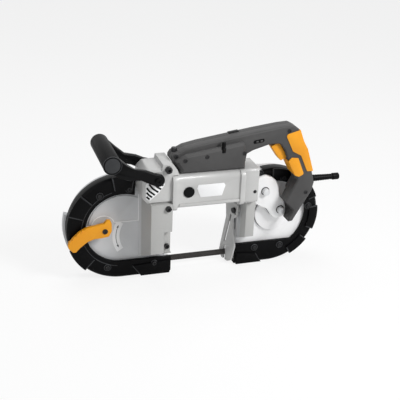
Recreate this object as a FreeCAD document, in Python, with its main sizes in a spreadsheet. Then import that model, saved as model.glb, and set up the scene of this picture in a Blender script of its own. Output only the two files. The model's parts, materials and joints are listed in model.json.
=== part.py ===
"""Portable deep-cut band saw: C-shaped frame, two wheels, endless blade, motor, gears and handles.

+X runs along the cutting stretch of the blade, -Y faces the motor side, +Z is up.
The origin is on the floor, under the middle of the saw. Sizes are in millimetres.
"""
import FreeCAD, Part
import math
import os
from FreeCAD import Placement, Rotation, Vector

doc = FreeCAD.newDocument("BandSaw")
sheet = doc.addObject("Spreadsheet::Sheet", "Dims")
nodes = []


class Size:
    """A length that knows its number and the sheet expression it comes from."""

    def __init__(self, value, text):
        self.value = float(value)
        self.text = text

    def __add__(self, other):
        other = as_size(other)
        return Size(self.value + other.value, f"({self.text} + {other.text})")

    def __sub__(self, other):
        other = as_size(other)
        return Size(self.value - other.value, f"({self.text} - {other.text})")

    def __mul__(self, share):
        return Size(self.value * share, f"({self.text} * {share:.9g})")

    def __truediv__(self, share):
        return Size(self.value / share, f"({self.text} / {share:.9g})")

    def __neg__(self):
        return Size(-self.value, f"(0 - {self.text})")

    __rmul__ = __mul__


def as_size(item):
    return item if isinstance(item, Size) else Size(item, f"{item:.9g}")


def size(name, number):
    """Write one driving dimension into the sheet and hand it back as a Size."""
    size.row += 1
    sheet.set(f"A{size.row}", name)
    sheet.set(f"B{size.row}", f"{number:.9g}")
    sheet.setAlias(f"B{size.row}", name)
    return Size(number, f"Dims.{name}")


size.row = 0
ORIGIN = (Size(0, "0"), Size(0, "0"), Size(0, "0"))

# Turns that lay a local drawing into the saw: FRONT is drawn as seen from -Y and grows towards -Y,
# SIDE is drawn in Y and Z and grows towards +X, TOP grows towards +Z.
FRONT = Rotation(Vector(1, 0, 0), 90)
SIDE = Rotation(Vector(1, 1, 1), 120)
TOP = Rotation()
# Turns for primitives and turned parts, by the direction that their axis points in.
ALONG = {
    "+X": Rotation(Vector(0, 1, 0), 90),
    "-X": Rotation(Vector(0, 1, 0), -90),
    "+Y": Rotation(Vector(1, 0, 0), -90),
    "-Y": Rotation(Vector(1, 0, 0), 90),
    "+Z": Rotation(),
}
LATHE = {"+Y": Rotation(), "+X": Rotation(Vector(0, 0, 1), -90), "+Z": Rotation(Vector(1, 0, 0), 90)}


def bind(thing, **sizes):
    for name, length in sizes.items():
        thing.setExpression(name, as_size(length).text)
    return thing


def place(thing, spot=ORIGIN, turn=TOP):
    spot = [as_size(part) for part in spot]
    thing.Placement = Placement(Vector(*[part.value for part in spot]), turn)
    for letter, part in zip("xyz", spot):
        thing.setExpression(f"Placement.Base.{letter}", part.text)
    return thing


def node(thing, name):
    """Name a finished sub-part. Its label is the name of its file."""
    thing.Label = name
    nodes.append(thing)
    return thing


def block(name, low, high):
    """A box between two corners."""
    low, high = [as_size(part) for part in low], [as_size(part) for part in high]
    box = doc.addObject("Part::Box", name)
    bind(box, Length=high[0] - low[0], Width=high[1] - low[1], Height=high[2] - low[2])
    return place(box, low)


def rod(name, radius, start, length, along):
    """A round bar that starts at a point and runs along one axis, or along a turn of its own."""
    bar = doc.addObject("Part::Cylinder", name)
    bind(bar, Radius=radius, Height=length)
    return place(bar, start, ALONG[along] if isinstance(along, str) else along)


def sector(name, radius, start, length, first_deg, sweep_deg):
    """A pie slice of a round bar, lying along -Y, its angles seen from the front."""
    slice_ = doc.addObject("Part::Cylinder", name)
    bind(slice_, Radius=radius, Height=length)
    slice_.Angle = sweep_deg
    return place(slice_, start, FRONT * Rotation(Vector(0, 0, 1), first_deg))


def fuse(name, *pieces):
    joined = doc.addObject("Part::MultiFuse", name)
    joined.Shapes = list(pieces)
    joined.Refine = True
    return joined


def cut(name, base, *tools):
    trimmed = doc.addObject("Part::Cut", name)
    trimmed.Base = base
    trimmed.Tool = tools[0] if len(tools) == 1 else fuse(name + "_tools", *tools)
    trimmed.Refine = True
    return trimmed


def overlap(name, first, second):
    shared = doc.addObject("Part::Common", name)
    shared.Base = first
    shared.Tool = second
    return shared


def group(name, pieces):
    """Separate solids that share one node, such as a set of screws."""
    batch = doc.addObject("Part::Compound", name)
    batch.Links = list(pieces)
    return batch


def corner(x, y, rounding=None, bulge=None):
    """A point of an outline: rounded off, or the start of an arc (bulge +radius left, -radius right)."""
    return {"x": as_size(x), "y": as_size(y), "round": rounding, "bulge": bulge}


def tangent_points(before, here, after, radius):
    to_before = (before - here).normalize()
    to_after = (after - here).normalize()
    half = to_before.getAngle(to_after) / 2
    setback = radius / math.tan(half)
    middle = (to_before + to_after).normalize() * (radius / math.sin(half))
    return here + to_before * setback, here + to_after * setback, here + middle


def arc_between(start, end, centre, radius):
    """The shorter arc, and which of its ends the outline reaches first."""
    first = math.atan2(start.y - centre.y, start.x - centre.x)
    last = math.atan2(end.y - centre.y, end.x - centre.x)
    turn = (last - first) % (2 * math.pi)
    circle = Part.Circle(centre, Vector(0, 0, 1), radius)
    if turn <= math.pi:
        return Part.ArcOfCircle(circle, first, first + turn), (1, 2)
    return Part.ArcOfCircle(circle, last, last + 2 * math.pi - turn), (2, 1)


def bulge_centre(start, end, bulge):
    """Centre of an arc that swells to the left (+) or right (-) of the way from start to end."""
    chord = end - start
    half = chord.Length / 2
    radius = max(abs(bulge), half)
    rise = math.sqrt(radius * radius - half * half)
    left = Vector(-chord.y, chord.x, 0).normalize()
    return start + chord * 0.5 - left * (rise if bulge > 0 else -rise)


class Outline:
    """Draws closed loops into a sketch and ties every point and radius to the sheet."""

    def __init__(self, sketch):
        self.sketch = sketch

    def tie(self, kind, *where, length):
        import Sketcher
        index = self.sketch.addConstraint(Sketcher.Constraint(kind, *where, length.value))
        self.sketch.setExpression(f"Constraints[{index}]", length.text)

    def link(self, kind, *where):
        import Sketcher
        self.sketch.addConstraint(Sketcher.Constraint(kind, *where))

    def pin(self, geometry, end, point):
        self.tie("DistanceX", -1, 1, geometry, end, length=point["x"])
        self.tie("DistanceY", -1, 1, geometry, end, length=point["y"])

    def loop(self, points):
        spots = [Vector(p["x"].value, p["y"].value, 0) for p in points]
        count = len(points)
        entry, leave, arcs = {}, {}, {}
        for i, p in enumerate(points):
            entry[i] = leave[i] = spots[i]
            if p["round"] is not None:
                radius = as_size(p["round"]).value
                entry[i], leave[i], centre = tangent_points(spots[i - 1], spots[i], spots[(i + 1) % count],
                                                            radius)
                arc, ends = arc_between(entry[i], leave[i], centre, radius)
                arcs[i] = (self.sketch.addGeometry(arc, False), ends)
        sides = []
        for i, p in enumerate(points):
            start, end = leave[i], entry[(i + 1) % count]
            if p["bulge"] is None:
                sides.append((self.sketch.addGeometry(Part.LineSegment(start, end), False), (1, 2)))
            else:
                bulge = as_size(p["bulge"])
                centre = bulge_centre(start, end, bulge.value)
                arc, ends = arc_between(start, end, centre, (start - centre).Length)
                sides.append((self.sketch.addGeometry(arc, False), ends))
        for i, p in enumerate(points):
            into, out = sides[i - 1], sides[i]
            if i in arcs:
                arc, ends = arcs[i]
                self.link("Tangent", into[0], into[1][1], arc, ends[0])
                self.link("Tangent", arc, ends[1], out[0], out[1][0])
                self.tie("Radius", arc, length=as_size(p["round"]))
                mark = self.sketch.addGeometry(Part.Point(spots[i]), True)
                self.pin(mark, 1, p)
                self.link("PointOnObject", mark, 1, into[0])
                self.link("PointOnObject", mark, 1, out[0])
            else:
                self.link("Coincident", into[0], into[1][1], out[0], out[1][0])
                self.pin(out[0], out[1][0], p)
        for i, p in enumerate(points):
            if p["bulge"] is not None:
                length = as_size(p["bulge"])
                self.tie("Radius", sides[i][0], length=length if length.value > 0 else -length)

    def circle(self, x, y, radius):
        x, y, radius = as_size(x), as_size(y), as_size(radius)
        ring = self.sketch.addGeometry(Part.Circle(Vector(x.value, y.value, 0), Vector(0, 0, 1),
                                                   radius.value), False)
        self.pin(ring, 3, {"x": x, "y": y})
        self.tie("Radius", ring, length=radius)


def new_body(name, spot, turn):
    return place(doc.addObject("PartDesign::Body", name), spot, turn)


def draw(body, name, loops=(), circles=(), height=None):
    """A sketch on the body's own base plane, or lifted off it by a height."""
    plane = next(f for f in body.Origin.OriginFeatures if f.Role == "XY_Plane")
    sketch = body.newObject("Sketcher::SketchObject", name)
    sketch.AttachmentSupport = [(plane, "")]
    sketch.MapMode = "FlatFace"
    if height is not None:
        sketch.setExpression("AttachmentOffset.Base.z", as_size(height).text)
    outline = Outline(sketch)
    for points in loops:
        outline.loop(points)
    for x, y, radius in circles:
        outline.circle(x, y, radius)
    return sketch


def pad(body, name, length, loops=(), circles=(), height=None):
    feature = body.newObject("PartDesign::Pad", name)
    feature.Profile = draw(body, name + "_sketch", loops, circles, height)
    return bind(feature, Length=length)


def pocket(body, name, length, loops=(), circles=(), height=None):
    """Cuts downwards, against the way the pads grow, from the given height."""
    feature = body.newObject("PartDesign::Pocket", name)
    feature.Profile = draw(body, name + "_sketch", loops, circles, height)
    return bind(feature, Length=length)


def plate(name, loops, back, thickness, circles=()):
    """A front-view outline that grows from its back plane towards the front."""
    body = new_body(name, (0, back, 0), FRONT)
    pad(body, name + "_pad", thickness, loops, circles)
    return body


def turned(name, profile, spot, axis):
    """A lathe part: profile points are (radius, distance along the axis)."""
    body = new_body(name, spot, LATHE[axis])
    sketch = draw(body, name + "_profile", [[corner(*point) for point in profile]])
    spin = body.newObject("PartDesign::Revolution", name + "_spin")
    spin.Profile = sketch
    spin.ReferenceAxis = (sketch, ["V_Axis"])
    spin.Angle = 360
    return body


def soften(body, name, radius, choose, kind="Fillet"):
    """Round or bevel the edges of a body's last feature that a test picks, in the body's own axes."""
    doc.recompute()
    feature = body.Tip
    picked = [f"Edge{i + 1}" for i, edge in enumerate(feature.Shape.Edges) if choose(edge)]
    finish = body.newObject(f"PartDesign::{kind}", name)
    finish.Base = (feature, picked)
    return bind(finish, **{"Radius" if kind == "Fillet" else "Size": radius})


def at_height(height):
    """Picks the edges that lie in one plane of a pad."""
    return lambda edge: all(abs(v.Z - height.value) < TOUCH for v in edge.Vertexes) and \
        abs(edge.CenterOfMass.z - height.value) < TOUCH


def shape_node(name, shape):
    """A sub-part whose form only code can give, such as teeth, coils or a twisted strip."""
    feature = doc.addObject("Part::Feature", name)
    feature.Shape = shape
    return node(feature, name)


TOUCH = 1e-4

# Overall places
wheel_span = size("wheel_span", 308)
wheel_mid_x = size("wheel_mid_x", -7)
axle_height = size("axle_height", 106.5)
lip_y = size("lip_y", 25.5)
overrun = size("overrun", 2)
seat_gap = size("seat_gap", 0.1)
running_gap = size("running_gap", 0.05)
clear_gap = size("clear_gap", 0.4)

LEFT = wheel_mid_x - wheel_span / 2
RIGHT = wheel_mid_x + wheel_span / 2
AXLE = axle_height


def deep(depth):
    """A Y place given as a distance behind the front lip of the bumpers."""
    return lip_y + depth


# Wheel housing
panel_depth = size("panel_depth", 8)
panel_wall = size("panel_wall", 3.5)
housing_depth = size("housing_depth", 40)
housing_wall = size("housing_wall", 4)
front_radius = size("front_housing_radius", 101)
rear_radius = size("rear_housing_radius", 98)
rear_shift = size("rear_housing_shift", 4)
throat_front = size("throat_front_reach", 80.5)
throat_rear = size("throat_rear_reach", 74)
throat_rise = size("throat_rise", 62)
arm_reach = size("lower_arm_reach", 93)
arm_drop = size("lower_arm_drop", 72)
flange_radius = size("flange_radius", 110)
flange_depth = size("flange_depth", 25)
flange_first_deg = 165
flange_sweep_deg = 70
window_low = size("blade_window_low", 97)
window_high = size("blade_window_high", 75)
front_window_high = size("front_window_high", 60)

PANEL = deep(panel_depth)
PANEL_BACK = PANEL + panel_wall
BACK = deep(housing_depth)
REAR_X = RIGHT - rear_shift
REAR_Z = AXLE - rear_shift


def housing_outline(inset):
    """The C-shaped frame seen from the front, or the hollow inside its wall."""
    big, small = front_radius - inset, rear_radius - inset
    left_edge, right_edge = LEFT + throat_front - inset, RIGHT - throat_rear + inset
    return [
        corner(LEFT, AXLE + big),
        corner(REAR_X, REAR_Z + small, bulge=small),
        corner(REAR_X + small, REAR_Z, bulge=small),
        corner(REAR_X, REAR_Z - small),
        corner(right_edge, REAR_Z - small),
        corner(right_edge, AXLE + throat_rise + inset),
        corner(left_edge, AXLE + throat_rise + inset),
        corner(left_edge, AXLE - arm_drop - inset),
        corner(LEFT + arm_reach - inset, AXLE - arm_drop - inset),
        corner(LEFT + arm_reach - inset, AXLE - big),
        corner(LEFT, AXLE - big, bulge=big),
        corner(LEFT - big, AXLE, bulge=big),
    ]


# Front column under the motor, and rear pillar
column_front = size("column_front", 61)
column_width = size("column_width", 40.5)
column_flare = size("column_flare", 8)
column_top = size("column_top", 70)
column_foot = size("column_foot", 30)
column_root = size("column_root", 66)
column_wall = size("column_wall", 4)
pillar_front = size("pillar_front", 36)
pillar_width = size("pillar_width", 18)
pillar_near = size("pillar_near", 72)
pillar_foot = size("pillar_foot", 27)
pillar_root = size("pillar_root", 50)
pillar_flare = size("pillar_flare", 4)

# Shaft places
lever_x = size("lever_pivot_offset", 37)
lever_z = size("lever_pivot_rise", 5)
lever_pin_radius = size("lever_pin_radius", 6)
lever_boss_radius = size("lever_boss_radius", 22)
lever_boss_rise = size("lever_boss_rise", 2)
step_rise = size("panel_step_rise", 2)
step_radius = size("panel_step_radius", 66)
step_floor = size("panel_step_floor", 12)
step_edge = size("panel_step_edge", 33)
drive_boss_radius = size("drive_boss_radius", 36)
drive_boss_rise = size("drive_boss_rise", 5)
idle_x = size("idle_gear_offset_x", 25)
idle_z = size("idle_gear_rise", 57)
worm_x = size("worm_gear_offset_x", 68)
worm_z = size("worm_gear_rise", 70)
motor_y = size("motor_axis_forward", 25)
motor_z = size("motor_axis_rise", 90)

LEVER = (LEFT - lever_x, AXLE + lever_z)
IDLE = (RIGHT - idle_x, AXLE + idle_z)
WORM = (RIGHT - worm_x, AXLE + worm_z)
MOTOR_Y = lip_y - motor_y
MOTOR_Z = AXLE + motor_z

# Shafts and bearings
drive_shaft_radius = size("drive_shaft_radius", 8.5)
drive_bearing_radius = size("drive_bearing_radius", 17.5)
boss_wall = size("drive_boss_wall", 2)
idle_boss_radius = size("idle_boss_radius", 30)
idle_shaft_radius = size("idle_shaft_radius", 5)
bush_wall = size("bush_wall", 3)


# Tension gear, blade windows and guide recess
rail_length = size("rail_length", 60)
rail_width = size("rail_width", 5)
wheel_room_half = size("wheel_room_half", 46)
wheel_room_front = size("wheel_room_front", 16)
wheel_room_back = size("wheel_room_back", 32.5)
carriage_height = size("carriage_height", 36)
carriage_thickness = size("carriage_thickness", 6)
carriage_back_reach = size("carriage_back_reach", 26)
spring_seat = size("spring_seat_reach", 62)
spring_post_height = size("spring_post_height", 12)
spring_post_wall = size("spring_post_wall", 5)
spring_y_offset = size("spring_axis_depth", 8)
window_near = size("blade_window_near", 12.5)
window_far = size("blade_window_far", 35.8)
guide_recess_width = size("guide_recess_width", 15.5)
guide_recess_deep = size("guide_recess_deep", 12)
guide_recess_top = size("guide_recess_top", 14)
case_drop = size("gear_case_drop", 17)
lobe_front = size("lobe_front", 12)
lobe_radius = size("worm_lobe_radius", 25.5)
wheel_bulge = size("worm_wheel_bulge", 19)
wheel_bulge_front = size("worm_wheel_bulge_front", 34)

SPRING_Y = PANEL_BACK + spring_y_offset


def make_main_frame():
    """The cast frame: two open-backed wheel housings, the bridge, the front column and the pillar."""
    shell = plate("frame_shell", [housing_outline(Size(0, "0"))], BACK, housing_depth - panel_depth)
    pocket(shell, "frame_hollow", BACK - PANEL_BACK, [housing_outline(housing_wall)],
           height=BACK - PANEL_BACK)
    rim = sector("frame_rim", flange_radius, (LEFT, BACK, AXLE), BACK - deep(flange_depth),
                 flange_first_deg, flange_sweep_deg)
    column = doc.addObject("Part::Wedge", "frame_column")
    right = LEFT + throat_front
    bind(column, Xmin=right - column_width, Xmax=right, X2min=right - column_width - column_flare,
         X2max=right,
         Ymin=lip_y - column_front, Ymax=PANEL, Zmin=AXLE - column_foot, Zmax=AXLE + column_top,
         Z2min=AXLE - column_root, Z2max=AXLE + column_top)
    pillar = doc.addObject("Part::Wedge", "frame_pillar")
    near = RIGHT - pillar_near
    bind(pillar, Xmin=near, Xmax=near + pillar_width, X2min=near, X2max=near + pillar_width + pillar_flare,
         Ymin=lip_y - pillar_front, Ymax=PANEL, Zmin=AXLE - pillar_foot, Zmax=WORM[1] - case_drop,
         Z2min=AXLE - pillar_root, Z2max=WORM[1] - case_drop)
    pillar = cut("frame_pillar_seat", pillar,
                 rod("pillar_lobe_seat", lobe_radius + seat_gap, (WORM[0], PANEL, WORM[1]),
                     lobe_front + panel_depth + seat_gap, "-Y"),
                 rod("pillar_bulge_seat", wheel_bulge + seat_gap, (WORM[0], lip_y, WORM[1]),
                     wheel_bulge_front + seat_gap, "-Y"),
                 rod("pillar_idle_seat", idle_boss_radius + seat_gap, (IDLE[0], PANEL, IDLE[1]),
                     lobe_front + panel_depth + seat_gap, "-Y"))
    boss = rod("frame_drive_boss", drive_boss_radius, (RIGHT, PANEL_BACK, AXLE),
               drive_boss_rise + panel_wall, "-Y")
    idle_boss = rod("frame_idle_boss", idle_boss_radius, (IDLE[0], PANEL_BACK, IDLE[1]),
                    drive_boss_rise + panel_wall, "-Y")
    lever_boss = rod("frame_lever_boss", lever_boss_radius, (LEVER[0], PANEL_BACK, LEVER[1]),
                     lever_boss_rise + panel_wall, "-Y")
    step = overlap("frame_step",
                   rod("frame_step_disc", step_radius, (LEFT, PANEL_BACK, AXLE), step_rise + panel_wall,
                       "-Y"),
                   block("frame_step_area", (LEFT - step_radius, PANEL - step_rise - overrun,
                                             AXLE + step_floor),
                         (LEFT + step_edge, PANEL_BACK, AXLE + step_radius)))
    rails = [block(f"frame_rail_{i}", (LEFT - rail_length / 2, PANEL_BACK - overrun, low),
                   (LEFT + rail_length / 2, PANEL_BACK + carriage_thickness + running_gap * 2, high))
             for i, (low, high) in enumerate([(AXLE + carriage_height / 2 + running_gap,
                                               AXLE + carriage_height / 2 + running_gap + rail_width),
                                              (AXLE - carriage_height / 2 - running_gap - rail_width,
                                               AXLE - carriage_height / 2 - running_gap)])]
    spring_post = block("frame_spring_post",
                        (LEFT + spring_seat, PANEL_BACK - overrun, AXLE - spring_post_height / 2),
                        (LEFT + spring_seat + spring_post_wall, SPRING_Y + spring_post_height / 2,
                         AXLE + spring_post_height / 2))
    whole = fuse("frame_casting", shell, rim, column, pillar, boss, idle_boss, lever_boss, step,
                 spring_post, *rails)
    hollow_column = block("column_hollow",
                          (right - column_width + column_wall,
                           lip_y - column_front + guide_recess_deep + column_wall,
                           AXLE - column_root - overrun),
                          (right - column_wall, PANEL - column_wall, AXLE + column_top - column_wall))
    hollow_rim = rod("rim_hollow", front_radius - housing_wall, (LEFT, BACK + overrun, AXLE),
                     BACK - PANEL_BACK + overrun, "-Y")
    windows = [block("window_front", (LEFT + throat_front - overrun, deep(window_near), AXLE - window_low),
                     (LEFT + arm_reach + overrun, deep(window_far), AXLE - front_window_high)),
               block("window_rear", (RIGHT - throat_rear - overrun, deep(window_near), AXLE - window_low),
                     (RIGHT - throat_rear + housing_wall + overrun, deep(window_far), AXLE - window_high))]
    bores = [rod("lever_bore", lever_pin_radius + running_gap, (LEVER[0], PANEL_BACK + overrun, LEVER[1]),
                 panel_wall + lever_boss_rise + overrun * 2, "-Y"),
             rod("drive_bore", drive_bearing_radius + running_gap, (RIGHT, PANEL_BACK + overrun, AXLE),
                 panel_wall + drive_boss_rise - boss_wall + overrun, "-Y"),
             rod("idle_bore", idle_shaft_radius + bush_wall + running_gap,
                 (IDLE[0], PANEL_BACK + overrun, IDLE[1]),
                 panel_wall + drive_boss_rise + overrun * 2, "-Y")]
    wheel_rooms = [block(f"wheel_room_{i}", (edge - overrun, deep(wheel_room_front),
                                             AXLE - wheel_room_half),
                         (edge + housing_wall + overrun, deep(wheel_room_back), AXLE + wheel_room_half))
                   for i, edge in enumerate((right - housing_wall, RIGHT - throat_rear))]
    recess = block("guide_recess", (right - guide_recess_width, lip_y - column_front - overrun,
                                    AXLE - column_foot - overrun),
                   (right + overrun, lip_y - column_front + guide_recess_deep, AXLE + guide_recess_top))
    return node(cut("main_frame_cut", whole, hollow_column, hollow_rim, recess, *windows, *bores,
                    *wheel_rooms), "main_frame")


main_frame = make_main_frame()

# Wheels, tyres and blade
wheel_depth = size("wheel_plane_depth", 24)
wheel_width = size("wheel_width", 13.5)
tyre_radius = size("tyre_radius", 82.7)
tyre_wall = size("tyre_wall", 2.5)
rim_wall = size("rim_wall", 3.2)
web_wall = size("web_wall", 4)
hub_radius = size("hub_radius", 20)
hub_length = size("hub_length", 15.5)
hub_front = size("hub_front", 1.2)
drive_hub_front = size("drive_hub_front", 4)
spoke_hole_radius = size("spoke_hole_radius", 15)
spoke_hole_place = size("spoke_hole_place", 49)
spoke_holes = 6
blade_width = size("blade_width", 13)
blade_thickness = size("blade_thickness", 0.65)
blade_gap = size("blade_gap", 0.35)
blade_drop = size("blade_drop", 4)
twist_start = size("twist_start", 18)
front_guide_reach = size("front_guide_reach", 87)
rear_guide_reach = size("rear_guide_reach", 62)
twist_steps = 10
axle_radius = size("axle_radius", 7.5)
bearing_wall = size("bearing_wall", 8.5)
bearing_width = size("bearing_width", 7)
nut_radius = size("nut_radius", 11)
nut_height = size("nut_height", 5)

WHEEL_Y = deep(wheel_depth)
WHEEL_FRONT = WHEEL_Y - wheel_width / 2
BLADE_R = tyre_radius + blade_gap


def make_wheel(name, x, bore, front):
    """A dished wheel, open to the front, with its web at the back and holes through the web."""
    rim_out = tyre_radius - tyre_wall
    rim_in = rim_out - rim_wall
    web = wheel_width - web_wall
    body = turned(name + "_disc", [
        (bore, front), (hub_radius, front), (hub_radius, web), (rim_in, web), (rim_in, 0),
        (rim_out, 0), (rim_out, wheel_width), (hub_radius, wheel_width),
        (hub_radius, front + hub_length), (bore, front + hub_length)], (x, WHEEL_FRONT, AXLE), "+Y")
    holes = []
    for i in range(spoke_holes):
        turn = 2 * math.pi * i / spoke_holes
        holes.append(rod(f"{name}_hole_{i}", spoke_hole_radius,
                         (x + spoke_hole_place * math.cos(turn), WHEEL_FRONT - overrun,
                          AXLE + spoke_hole_place * math.sin(turn)), wheel_width + overrun * 2, "+Y"))
    return node(cut(name + "_cut", body, *holes), name)


def make_tyre(name, x):
    return node(turned(name, [
        (tyre_radius - tyre_wall, 0), (tyre_radius, 0), (tyre_radius, wheel_width),
        (tyre_radius - tyre_wall, wheel_width)], (x, WHEEL_FRONT, AXLE), "+Y"), name)


def ring(name, inner, outer, width, spot, axis):
    return turned(name, [(inner, 0), (outer, 0), (outer, width), (inner, width)], spot, axis)


def make_blade():
    """An endless flat strip round both wheels, turned on edge across the throat."""
    width, thick = blade_width.value, blade_thickness.value
    left, right, axle, middle = LEFT.value, RIGHT.value, AXLE.value, WHEEL_Y.value
    inner, outer = BLADE_R.value, BLADE_R.value + thick
    low = middle - width / 2
    top = Part.makeBox(right - left, width, thick, Vector(left, low, axle + inner))
    bends = []
    for x, box_x in ((left, left - 2 * outer), (right, right)):
        spot, way = Vector(x, low, axle), Vector(0, 1, 0)
        hoop = Part.makeCylinder(outer, width, spot, way).cut(Part.makeCylinder(inner, width, spot, way))
        half = Part.makeBox(2 * outer, width, 2 * outer, Vector(box_x, low, axle - outer))
        bends.append(hoop.common(half))

    def strip(x, share):
        turn = math.pi / 2 * share
        across = Vector(0, math.cos(turn), math.sin(turn)) * (width / 2)
        through = Vector(0, -math.sin(turn), math.cos(turn)) * (thick / 2)
        centre = Vector(x, middle, axle - inner - thick / 2 - blade_drop.value * share)
        return Part.makePolygon([centre + across + through, centre - across + through,
                                 centre - across - through, centre + across - through,
                                 centre + across + through])

    steps = [i / twist_steps for i in range(twist_steps + 1)]
    eased = [3 * t * t - 2 * t * t * t for t in steps]
    begin, end = left + twist_start.value, left + front_guide_reach.value
    sections = [strip(left, 0)] + [strip(begin + (end - begin) * t, s) for t, s in zip(steps, eased)]
    begin, end = right - rear_guide_reach.value, right - twist_start.value
    sections += [strip(begin + (end - begin) * t, 1 - s) for t, s in zip(steps, eased)] + [strip(right, 0)]
    run = Part.makeLoft(sections, True, True)
    return shape_node("blade", top.fuse(bends + [run]).removeSplitter())


idler_wheel = make_wheel("idler_wheel", LEFT, axle_radius + bearing_wall, hub_front)
idler_tyre = make_tyre("idler_tyre", LEFT)
drive_wheel = make_wheel("drive_wheel", RIGHT, drive_shaft_radius, drive_hub_front)
drive_tyre = make_tyre("drive_tyre", RIGHT)
blade = make_blade()

# Idler axle, carriage and tension cam
cam_radius = size("cam_radius", 10.5)
cam_throw = size("cam_throw", 4)
cam_width = size("cam_width", 5)
lever_front = size("lever_front", 15)
lever_thickness = size("lever_thickness", 9)
lever_length = size("lever_length", 70)
spring_wire = size("spring_wire", 1.6)
spring_radius = size("spring_radius", 5)
spring_turns = 7

CARRIAGE_Y = PANEL_BACK + running_gap
CARRIAGE_LEFT = LEVER[0] - cam_throw + cam_radius + clear_gap
CARRIAGE_RIGHT = LEFT + carriage_back_reach

carriage_plate = block("carriage_plate", (CARRIAGE_LEFT, CARRIAGE_Y, AXLE - carriage_height / 2),
                       (CARRIAGE_RIGHT, CARRIAGE_Y + carriage_thickness, AXLE + carriage_height / 2))
spring_peg = block("carriage_spring_peg", (CARRIAGE_RIGHT - spring_post_wall, CARRIAGE_Y,
                                           AXLE - spring_post_height / 2),
                   (CARRIAGE_RIGHT, SPRING_Y + spring_post_height / 2, AXLE + spring_post_height / 2))
node(cut("carriage_cut", fuse("carriage_whole", carriage_plate, spring_peg),
         rod("carriage_bore", axle_radius, (LEFT, CARRIAGE_Y - overrun, AXLE),
             carriage_thickness + overrun * 2, "+Y")),
     "tension_carriage")
AXLE_BACK = WHEEL_FRONT + hub_front + hub_length
node(rod("idler_axle", axle_radius, (LEFT, CARRIAGE_Y, AXLE), AXLE_BACK + nut_height - CARRIAGE_Y, "+Y"),
     "idler_axle")
node(ring("idler_nut", axle_radius, nut_radius, nut_height - clear_gap, (LEFT, AXLE_BACK + clear_gap, AXLE),
          "+Y"),
     "idler_nut")
node(group("idler_bearings", [
    ring(f"idler_bearing_{i}", axle_radius + running_gap, axle_radius + bearing_wall, bearing_width,
         (LEFT, WHEEL_FRONT + hub_front + start, AXLE), "+Y")
    for i, start in enumerate((Size(0, "0"), hub_length - bearing_width))]), "idler_bearings")
node(fuse("tension_shaft_whole",
          rod("tension_pin", lever_pin_radius, (LEVER[0], lip_y - lever_front + lever_thickness, LEVER[1]),
              lever_front - lever_thickness + panel_depth + panel_wall + running_gap, "+Y"),
          rod("tension_cam_disc", cam_radius, (LEVER[0] - cam_throw, CARRIAGE_Y, LEVER[1]), cam_width,
              "+Y")),
     "tension_cam")

# The lever's outline round its pivot, as shares of its length: hub, upper edge, tip and lower edge.
lever_shares = [
    (0.19, 0.20), (0.145, 0.31), (0.05, 0.315), (-0.03, 0.22), (-0.20, 0.19), (-0.47, 0.15),
    (-0.69, 0.04), (-0.85, -0.11), (-1.0, -0.30), (-0.99, -0.41), (-0.87, -0.55), (-0.79, -0.55),
    (-0.67, -0.42), (-0.48, -0.275), (-0.30, -0.21), (-0.08, -0.20), (0.11, -0.17), (0.19, -0.02)]
lever_round_share = 0.03
lever_body = plate("tension_lever_body", [[
    corner(LEVER[0] + lever_length * x, LEVER[1] + lever_length * z, lever_length * lever_round_share)
    for x, z in lever_shares]], lip_y - lever_front + lever_thickness, lever_thickness)
node(lever_body, "tension_lever")


def arc_from(start, heading, end):
    """The arc that leaves a point along a heading and ends at another point."""
    chord_ = end - start
    line = Vector(chord_).normalize()
    bend = heading.getAngle(line)
    side = (heading - line * heading.dot(line)).normalize()
    return Part.Arc(start, (start + end) * 0.5 + side * (chord_.Length / 2 * math.tan(bend / 2)), end)


def coil(radius, wire, start, length, turns):
    """A round-wire spring along +X: one tube on arcs, two to each quarter turn. Prints its least gap."""
    quarters = 4 * turns
    rise = (length - wire) / quarters
    slope = Vector(rise, radius * math.pi / 2, 0).normalize()

    def stop_at(i):
        turn = math.pi / 2 * i
        spot = start + Vector(wire / 2 + rise * i, radius * math.cos(turn), radius * math.sin(turn))
        return spot, Vector(slope.x, -slope.y * math.sin(turn), slope.y * math.cos(turn))

    arcs = []
    for i in range(quarters):
        (here, way), (there, onward) = stop_at(i), stop_at(i + 1)
        gap, turn = there - here, way + onward
        spread_ = 2 * (1 - way.dot(onward))
        reach = (math.sqrt(gap.dot(turn) ** 2 + spread_ * gap.dot(gap)) - gap.dot(turn)) / spread_
        middle = (here + there + (way - onward) * reach) * 0.5
        arcs.append(arc_from(here, way, middle))
        arcs.append(arc_from(middle, (middle - here - way * reach).normalize(), there))
    path = Part.Wire([arc.toShape() for arc in arcs])
    points = [p for edge in path.Edges for p in edge.discretize(6)[:-1]]
    half_turn = len(points) // (2 * turns)
    least = min((points[j] - points[i]).Length for i in range(len(points)) for j in range(i + half_turn,
                                                                                          len(points)))
    print(f"spring: least gap to itself {least - wire:.2f} mm")
    section = Part.Wire(Part.makeCircle(wire / 2, stop_at(0)[0], stop_at(0)[1]))
    return path.makePipeShell([section], True, False)


shape_node("tension_spring", coil(
    spring_radius.value, spring_wire.value, Vector(CARRIAGE_RIGHT.value, SPRING_Y.value, AXLE.value),
    (LEFT + spring_seat - CARRIAGE_RIGHT).value, spring_turns))

# Drive shaft, gears and bearings
worm_teeth, worm_pinion_teeth, idle_teeth, idle_pinion_teeth, drive_teeth = 20, 24, 30, 11, 66
worm_radius = size("worm_pitch_radius", 6)
worm_gear_width = size("worm_gear_width", 8)
gear_width = size("gear_width", 6.5)
gear_front = size("gear_front", 8.5)
drive_gear_depth = size("drive_gear_depth", 14)
drive_gear_width = size("drive_gear_width", 6)
worm_turns = 2
addendum_share, dedendum_share = 0.8, 1.2
root_share, tip_share = 0.24, 0.08
worm_shaft_radius = size("worm_shaft_radius", 5)

BOSS_Y = PANEL - drive_boss_rise


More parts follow.
